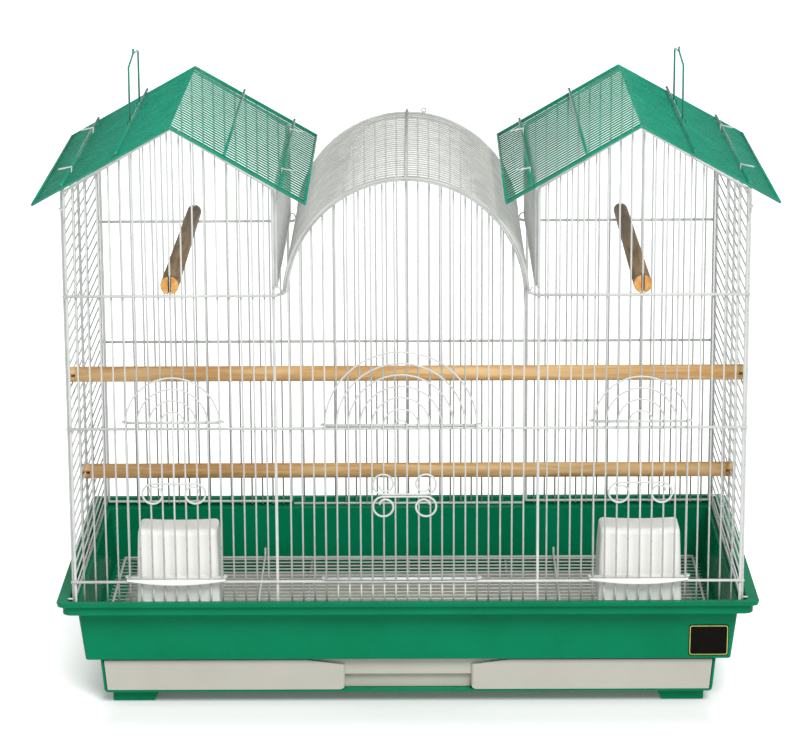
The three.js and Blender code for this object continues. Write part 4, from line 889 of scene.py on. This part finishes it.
def cup_lip(middle):
    """A shelf with a drooping edge, deepest in the middle and nearly gone at the ends."""
    edge, under = -(PANEL_Y + 0.9), LOW + 1.7
    bm = bmesh.new()
    bmesh.ops.create_grid(bm, x_segments=24, y_segments=1, size=1)
    bmesh.ops.scale(bm, vec=(LIP_HALF, 3, 1), verts=bm.verts)
    bmesh.ops.translate(bm, vec=(0, edge - 3, under + 1.4), verts=bm.verts)
    row = [e for e in bm.edges if e.is_boundary and all(v.co.y < edge - 5.9 for v in e.verts)]
    for dy, dz in ((-0.7, -0.25), (-0.5, -0.7), (-0.2, -1.8), (0.1, -1.9)):
        pulled = bmesh.ops.extrude_edge_only(bm, edges=row)["geom"]
        row, moved = only(pulled, EDGE), only(pulled, VERT)
        bmesh.ops.translate(bm, vec=(0, dy, dz), verts=moved)
        for vert in moved:
            vert.co.z -= dz * 0.72 * (vert.co.x / LIP_HALF) ** 2
    for vert in bm.verts:
        if vert.co.y < edge - 3:
            vert.co.y += 2.6 * (vert.co.x / LIP_HALF) ** 2
    bmesh.ops.recalc_face_normals(bm, faces=bm.faces)
    bmesh.ops.solidify(bm, geom=bm.faces[:], thickness=1.0)
    bmesh.ops.translate(bm, vec=(middle, 0, 0), verts=bm.verts)
    return mesh_of(bm)


def cup_tongue(middle):
    bm = bmesh.new()
    box(bm, (78, 8.2, 1.2), (middle, -(PANEL_Y - 0.4), LOW + 2.4))
    return mesh_of(bm)


for name, columns in (("left", LEFT_DOOR), ("right", RIGHT_DOOR)):
    x = middle_x(columns)
    parts = [cup_shell(x + CUP_SHIFT), cup_lip(x), cup_tongue(x + CUP_SHIFT)]
    cup = piece(f"{name}_cup_moulding", parts, "cage", "white_plastic", f"{name}_seed_cup")
    soften(cup, 0.35, 2)

# %% [markdown]
# ## Perches
#
# Perches are turned wooden rods with a saw cut in each end that grips a wire. A cylinder is cut in two
# at the cut, and the two prongs are what is left on either side of the saw.


# %% Perch
def perch_mesh(diameter, reach, slot_half=1.5, depth=9, taper=0.0):
    """Along Y, with upright slots; a tapered one is thinner at the back."""
    turn = Matrix.Rotation(math.pi / 2, 4, "X")

    def cylinder(bm, length, matrix):
        radius = diameter / 2
        bmesh.ops.create_cone(
            bm, cap_ends=True, segments=40, radius1=radius, radius2=radius, depth=length, matrix=matrix
        )

    bm = bmesh.new()
    cylinder(bm, 2 * (reach - depth), turn)
    for end in (-1, 1):
        for side in (-1, 1):
            prong = bmesh.new()
            place = Matrix.Translation((0, end * (reach - depth / 2), 0)) @ turn
            cylinder(prong, depth, place)
            round_off(prong, edges_where(prong, lambda c: abs(c.y - end * reach) < 0.01), 0.9, 3)
            geom = prong.verts[:] + prong.edges[:] + prong.faces[:]
            cut = bmesh.ops.bisect_plane(
                prong, geom=geom, plane_co=(side * slot_half, 0, 0), plane_no=(side, 0, 0), clear_inner=True
            )
            bmesh.ops.contextual_create(prong, geom=only(cut["geom_cut"], EDGE))
            bmesh.ops.recalc_face_normals(prong, faces=prong.faces)
            part = mesh_of(prong)
            bm.from_mesh(part)
            bpy.data.meshes.remove(part)
    for vert in bm.verts:
        thin = 1 - taper * (vert.co.y + reach) / (2 * reach)
        vert.co.x *= thin
        vert.co.z *= thin
    for face in bm.faces:
        face.smooth = len(face.verts) == 4
    return mesh_of(bm)


ACROSS = Matrix.Rotation(math.pi / 2, 4, "Z") @ Matrix.Rotation(math.pi / 2, 4, "Y")
LONG_PERCH, GABLE_PERCH = 14.5, 17
for name, row, y in (("upper", 19, -131), ("lower", 8, -24)):
    rod = perch_mesh(LONG_PERCH, POST_X + 4.2)
    rod.transform(Matrix.Translation((0, y, SKIRT + row * SIDE_PITCH)) @ ACROSS)
    piece(f"{name}_perch_rod", [rod], "cage", "perch_wood", f"{name}_perch")
for name, column in (("left", 9), ("right", COLUMNS - 9)):
    rod = perch_mesh(GABLE_PERCH, PANEL_Y + 3.75, taper=0.16)
    height = TOWER + ROD / 2 + CLEAR + GABLE_PERCH / 2
    rod.transform(Matrix.Translation((column_x(column), 0, height)))
    piece(f"{name}_gable_perch_rod", [rod], "cage", "gable_perch_wood", f"{name}_gable_perch")

# %% [markdown]
# ## Name plate
#
# A small dark plate sits on the sloping front wall. It is left without words: only its thin border.

# %% Plate and border
WALL_IN, WALL_FALL, WALL_START = 6, 50.5, 13.5
LEAN = math.atan2(WALL_IN, WALL_FALL)
PLATE_X, PLATE_DROP = 284.5, 44.8


def plate(half_x, half_z, corner, thick, lift):
    bm = bmesh.new()
    rounded_rectangle(bm, half_x, half_z, corner, 6)
    front = bmesh.ops.extrude_face_region(bm, geom=bm.faces[:])["geom"]
    bmesh.ops.translate(bm, vec=(0, 0, thick), verts=only(front, VERT))
    bmesh.ops.recalc_face_normals(bm, faces=bm.faces)
    wall_y = -(160 - WALL_IN * (PLATE_DROP - WALL_START) / WALL_FALL) - CLEAR
    upright = Matrix.Rotation(math.pi / 2 + LEAN, 4, "X")
    place = Matrix.Translation((PLATE_X, wall_y, RIM - PLATE_DROP)) @ upright
    bmesh.ops.transform(bm, matrix=place @ Matrix.Translation((0, 0, lift)), verts=bm.verts)
    return mesh_of(bm)


piece("plate_board", [plate(18.7, 15.8, 2.5, 0.6, 0)], "base", "plate", "name_plate")
border_piece = piece("plate_border", [plate(18.0, 15.1, 2.2, 0.1, 0.6)], "base", "plate")
piece("plate_face", [plate(17.3, 14.4, 1.8, 0.1, 0.7)], "base", "plate")

# %% [markdown]
# ## Materials
#
# Every finish starts from a colour read off the object, then gets what makes it believable: a slight
# unevenness in colour and gloss, and a fine relief. Two shader groups do this for all of them. One is
# a soft mottle, the other a wood grain.


# %% Colours
def colour(red, green, blue):
    """From screen values, 0 to 255, to the linear values that a shader uses."""
    out = []
    for value in (red, green, blue):
        c = value / 255
        out.append(c / 12.92 if c <= 0.04045 else ((c + 0.055) / 1.055) ** 2.4)
    return (*out, 1.0)


print("tub green, linear:", [round(c, 3) for c in colour(0, 130, 88)])


# %% A mottle group
FLOAT = "NodeSocketFloat"


def new_group(name, inputs, outputs):
    group = bpy.data.node_groups.new(name, "ShaderNodeTree")
    for label, kind, value in inputs:
        socket = group.interface.new_socket(name=label, in_out="INPUT", socket_type=kind)
        socket.default_value = value
    for label, kind in outputs:
        group.interface.new_socket(name=label, in_out="OUTPUT", socket_type=kind)
    return group, group.nodes.new("NodeGroupInput"), group.nodes.new("NodeGroupOutput")


def build_mottle():
    inputs = [("Scale", FLOAT, 20.0), ("Low", FLOAT, 0.0), ("High", FLOAT, 1.0)]
    group, start, end = new_group("Mottle", inputs, [("Value", FLOAT)])
    nodes, links = group.nodes, group.links
    where = nodes.new("ShaderNodeTexCoord")
    noise = nodes.new("ShaderNodeTexNoise")
    noise.inputs["Detail"].default_value = 4
    spread = nodes.new("ShaderNodeMapRange")
    spread.inputs["From Min"].default_value = 0.3
    spread.inputs["From Max"].default_value = 0.7
    links.new(where.outputs["Object"], noise.inputs["Vector"])
    links.new(start.outputs["Scale"], noise.inputs["Scale"])
    links.new(noise.outputs["Fac"], spread.inputs["Value"])
    links.new(start.outputs["Low"], spread.inputs["To Min"])
    links.new(start.outputs["High"], spread.inputs["To Max"])
    links.new(spread.outputs["Result"], end.inputs["Value"])
    return group


MOTTLE = build_mottle()
print("group:", MOTTLE.name)


# %% Helpers for materials
def material(name, roughness, metallic=0.0, gloss=0.5):
    made = bpy.data.materials.new(name)
    made.use_nodes = True
    shader = made.node_tree.nodes["Principled BSDF"]
    shader.inputs["Roughness"].default_value = roughness
    shader.inputs["Metallic"].default_value = metallic
    shader.inputs["Specular IOR Level"].default_value = gloss
    return made, shader


def mottle(made, scale, low, high):
    node = made.node_tree.nodes.new("ShaderNodeGroup")
    node.node_tree = MOTTLE
    for label, value in (("Scale", scale), ("Low", low), ("High", high)):
        node.inputs[label].default_value = value
    return node.outputs["Value"]


def blend_colours(made, factor, first, second):
    mix = made.node_tree.nodes.new("ShaderNodeMix")
    mix.data_type = "RGBA"
    mix.inputs[6].default_value = first
    mix.inputs[7].default_value = second
    made.node_tree.links.new(factor, mix.inputs[0])
    return mix.outputs[2]


def relief(made, shader, height, distance, strength=0.5):
    bump = made.node_tree.nodes.new("ShaderNodeBump")
    bump.inputs["Distance"].default_value = distance
    bump.inputs["Strength"].default_value = strength
    made.node_tree.links.new(height, bump.inputs["Height"])
    made.node_tree.links.new(bump.outputs["Normal"], shader.inputs["Normal"])


# %% Plastics and coatings
def moulded(name, first, second, roughness, gloss=0.2, relief_size=0.00012):
    """Injection-moulded plastic: an even colour, gloss that varies softly, the faintest orange peel."""
    made, shader = material(name, roughness, gloss=gloss)
    links = made.node_tree.links
    links.new(blend_colours(made, mottle(made, 14, 0, 1), first, second), shader.inputs["Base Color"])
    links.new(mottle(made, 45, roughness - 0.05, roughness + 0.08), shader.inputs["Roughness"])
    relief(made, shader, mottle(made, 420, 0, 1), relief_size, 0.35)
    return made


def coated_wire(name, first, second, roughness, gloss=0.3):
    """Dipped wire: a thick glossy coat with slight runs and thin spots."""
    made, shader = material(name, roughness, gloss=gloss)
    links = made.node_tree.links
    links.new(blend_colours(made, mottle(made, 60, 0, 1), first, second), shader.inputs["Base Color"])
    links.new(mottle(made, 150, roughness - 0.06, roughness + 0.1), shader.inputs["Roughness"])
    relief(made, shader, mottle(made, 700, 0, 1), 0.00015, 0.4)
    return made


FINISHES = {
    "green_plastic": moulded("green tub plastic", colour(0, 122, 81), colour(0, 132, 92), 0.28, 0.08),
    "drawer_plastic": moulded("pale drawer plastic", colour(186, 183, 172), colour(194, 191, 181), 0.4, 0.2),
    "white_plastic": moulded("white cup plastic", colour(236, 236, 231), colour(243, 243, 239), 0.36, 0.2),
    "white_wire": coated_wire("white coated wire", colour(206, 209, 206), colour(219, 222, 219), 0.28, 0.4),
    "grey_wire": coated_wire("pale grey dome wire", colour(188, 190, 185), colour(210, 212, 207), 0.3),
    "green_wire": coated_wire("green coated wire", colour(0, 140, 109), colour(10, 160, 128), 0.24, 0.5),
}
print("finishes so far:", ", ".join(FINISHES))


# %% Wood grain
def build_grain():
    inputs = [("Stretch", "NodeSocketVector", (1.0, 1.0, 1.0)), ("Scale", FLOAT, 100.0)]
    group, start, end = new_group("Wood grain", inputs, [("Grain", FLOAT), ("Pores", FLOAT)])
    nodes, links = group.nodes, group.links
    where = nodes.new("ShaderNodeTexCoord")
    stretch = nodes.new("ShaderNodeVectorMath")
    stretch.operation = "MULTIPLY"
    links.new(where.outputs["Object"], stretch.inputs[0])
    links.new(start.outputs["Stretch"], stretch.inputs[1])
    for label, factor, detail in (("Grain", 1.0, 5), ("Pores", 5.0, 2)):
        size = nodes.new("ShaderNodeMath")
        size.operation = "MULTIPLY"
        size.inputs[1].default_value = factor
        links.new(start.outputs["Scale"], size.inputs[0])
        noise = nodes.new("ShaderNodeTexNoise")
        noise.inputs["Detail"].default_value = detail
        noise.inputs["Distortion"].default_value = 0.6
        links.new(stretch.outputs["Vector"], noise.inputs["Vector"])
        links.new(size.outputs["Value"], noise.inputs["Scale"])
        links.new(noise.outputs["Fac"], end.inputs[label])
    return group


GRAIN = build_grain()


def wooden(name, stretch, dark, pale):
    made, shader = material(name, 0.6)
    nodes, links = made.node_tree.nodes, made.node_tree.links
    grain = nodes.new("ShaderNodeGroup")
    grain.node_tree = GRAIN
    grain.inputs["Stretch"].default_value = stretch
    grain.inputs["Scale"].default_value = 160.0
    ramp = nodes.new("ShaderNodeValToRGB")
    ramp.color_ramp.elements[0].position = 0.38
    ramp.color_ramp.elements[1].position = 0.62
    ramp.color_ramp.elements[0].color = dark
    ramp.color_ramp.elements[1].color = pale
    links.new(grain.outputs["Grain"], ramp.inputs["Fac"])
    links.new(ramp.outputs["Color"], shader.inputs["Base Color"])
    relief(made, shader, grain.outputs["Pores"], 0.0004, 0.5)
    return made


# The gable perches' darker brown is painted shade, for where they sit under the roofs; it is the same wood
# as their orange end grain.
TAN = colour(208, 158, 98), colour(234, 194, 136)
PAINTED_SHADE_BROWN = colour(112, 92, 66), colour(150, 124, 92)
FINISHES["perch_wood"] = wooden("tan perch wood", (0.08, 1, 1), *TAN)
FINISHES["gable_perch_wood"] = wooden("perch wood in painted shade", (1, 0.08, 1), *PAINTED_SHADE_BROWN)
END_GRAIN = wooden("perch end grain", (1, 1, 1), colour(206, 140, 66), colour(236, 182, 104))

# %% Plate finishes
FINISHES["plate"] = moulded("dark plate", colour(10, 8, 7), colour(17, 14, 12), 0.35, 0.05)
GOLD, gold_shader = material("gold border", 0.35, metallic=1.0)
gold = blend_colours(GOLD, mottle(GOLD, 90, 0, 1), colour(190, 176, 84), colour(214, 202, 122))
GOLD.node_tree.links.new(gold, gold_shader.inputs["Base Color"])

# %% [markdown]
# Every piece says which slot it belongs to, so the finishes can be handed out in one loop.

# %% Hand out the finishes
PERCH_END = 0.165
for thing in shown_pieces():
    if thing.get("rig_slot"):
        thing.data.materials.clear()
        thing.data.materials.append(FINISHES[thing["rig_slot"]])
border_piece.data.materials[0] = GOLD
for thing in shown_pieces():
    if thing.get("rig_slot") == "gable_perch_wood":
        thing.data.materials.append(END_GRAIN)
        for face in thing.data.polygons:
            face.material_index = int(abs(face.normal.y) > 0.6 and abs(face.center.y) > PERCH_END)

# %% [markdown]
# ## Floor, light and camera
#
# The photograph has a white sweep with a soft shadow under the cage. The floor is white, and what the
# camera sees of it is lifted, but far less under and just in front of the cage: that darker patch is a
# painted shadow, laid over the shadow that the lamp casts. The light on the cage itself stays plain: an
# even sky and one lamp, as wide as a softbox, in front of it, above and to the right.

# %% Floor
bm = bmesh.new()
bmesh.ops.create_grid(bm, x_segments=1, y_segments=1, size=30)
bmesh.ops.translate(bm, vec=(0, 10, -0.0002), verts=bm.verts)
floor = bpy.data.objects.new("floor", mesh_of(bm, "floor"))
bpy.context.scene.collection.objects.link(floor)
floor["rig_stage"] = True
paper, paper_shader = material("white sweep", 0.9)
paper_shader.inputs["Base Color"].default_value = (0.92, 0.92, 0.92, 1)
nodes, links = paper.node_tree.nodes, paper.node_tree.links
path = nodes.new("ShaderNodeLightPath")
where = nodes.new("ShaderNodeTexCoord")
apart = nodes.new("ShaderNodeSeparateXYZ")
links.new(where.outputs["Object"], apart.inputs[0])


def calculate(operation, first, second=None):
    """A math node. Its first input is a link, its second a link, a number or nothing."""
    node = nodes.new("ShaderNodeMath")
    node.operation = operation
    links.new(first, node.inputs[0])
    if isinstance(second, float):
        node.inputs[1].default_value = second
    elif second:
        links.new(second, node.inputs[1])
    return node.outputs["Value"]


def beyond(axis, middle, near, far):
    """0 nearer to the cage than `near`, 1 past `far`, along one axis."""
    away = calculate("ABSOLUTE", calculate("SUBTRACT", apart.outputs[axis], middle))
    ramp = nodes.new("ShaderNodeMapRange")
    ramp.interpolation_type = "SMOOTHSTEP"
    ramp.inputs["From Min"].default_value = near
    ramp.inputs["From Max"].default_value = far
    links.new(away, ramp.inputs["Value"])
    return ramp.outputs["Result"]


# The lift drops to its low value under and just in front of the cage: that darker patch is a painted shadow.
PAINTED_SHADOW_LIFT, LIFT_AWAY = 0.1, 0.62
outside_painted_shadow = calculate("MAXIMUM", beyond("X", 0.0, 0.27, 0.34), beyond("Y", -0.05, 0.13, 0.24))
amount = nodes.new("ShaderNodeMapRange")
amount.inputs["To Min"].default_value = PAINTED_SHADOW_LIFT
amount.inputs["To Max"].default_value = LIFT_AWAY
links.new(outside_painted_shadow, amount.inputs["Value"])
seen = calculate("MAXIMUM", path.outputs["Is Camera Ray"], path.outputs["Is Glossy Ray"])
paper_shader.inputs["Emission Color"].default_value = (1, 1, 1, 1)
links.new(calculate("MULTIPLY", seen, amount.outputs["Result"]), paper_shader.inputs["Emission Strength"])
floor.data.materials.append(paper)

# %% World and lamp
world = bpy.data.worlds.new("studio")
bpy.context.scene.world = world
world.use_nodes = True
sky = world.node_tree.nodes["Background"]
sky.inputs["Color"].default_value = (1, 1, 1, 1)
sky.inputs["Strength"].default_value = 0.4
bpy.context.scene.view_settings.view_transform = "Standard"
lamp_data = bpy.data.lights.new("large soft lamp", "SUN")
lamp_data.energy = 2.4
lamp_data.angle = math.radians(28)
lamp = bpy.data.objects.new("large soft lamp", lamp_data)
bpy.context.scene.collection.objects.link(lamp)
lamp.location = (0.9, -2.2, 2.4)
lamp.rotation_euler = Vector((-0.3, 0.9, -1.05)).to_track_quat("-Z", "Y").to_euler()

# %% [markdown]
# The camera was solved from the photograph: 3.07 m in front, just over a metre up, tilted down 14.4
# degrees, through a long lens of 146 mm. A long lens keeps the two towers nearly square to the page.

# %% Camera
camera_data = bpy.data.cameras.new("camera")
camera_data.sensor_width = 36
camera_data.lens = 145.84
camera_data.clip_end = 100
camera = bpy.data.objects.new("camera", camera_data)
bpy.context.scene.collection.objects.link(camera)
pitch, yaw, roll = (math.radians(v) for v in (14.386, -0.396, -0.303))
forward = Vector((math.sin(yaw) * math.cos(pitch), math.cos(yaw) * math.cos(pitch), -math.sin(pitch)))
right = Vector((math.cos(yaw), -math.sin(yaw), 0))
up = right.cross(forward)
across = right * math.cos(roll) + up * math.sin(roll)
upright = across.cross(forward)
pose = Matrix.Identity(4)
for column, axis in enumerate((across, upright, -forward, Vector((0.014, -3.0654, 1.071)))):
    pose.col[column][:3] = axis
camera.matrix_world = pose
bpy.context.scene.camera = camera
print("camera at", [round(v, 3) for v in camera.location])

# %% [markdown]
# ## Last look at the sizes
#
# Both boxes, the CAD model's and the dressed cage's, are printed in millimetres. The dressed cage
# must be no bigger than the CAD model.

# %% Print both boxes and finish
made_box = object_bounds()
for label, corners in (("CAD", cad_box), ("dressed", made_box)):
    print(label, [round((b - a) * 1000, 1) for a, b in zip(*corners)], "mm")
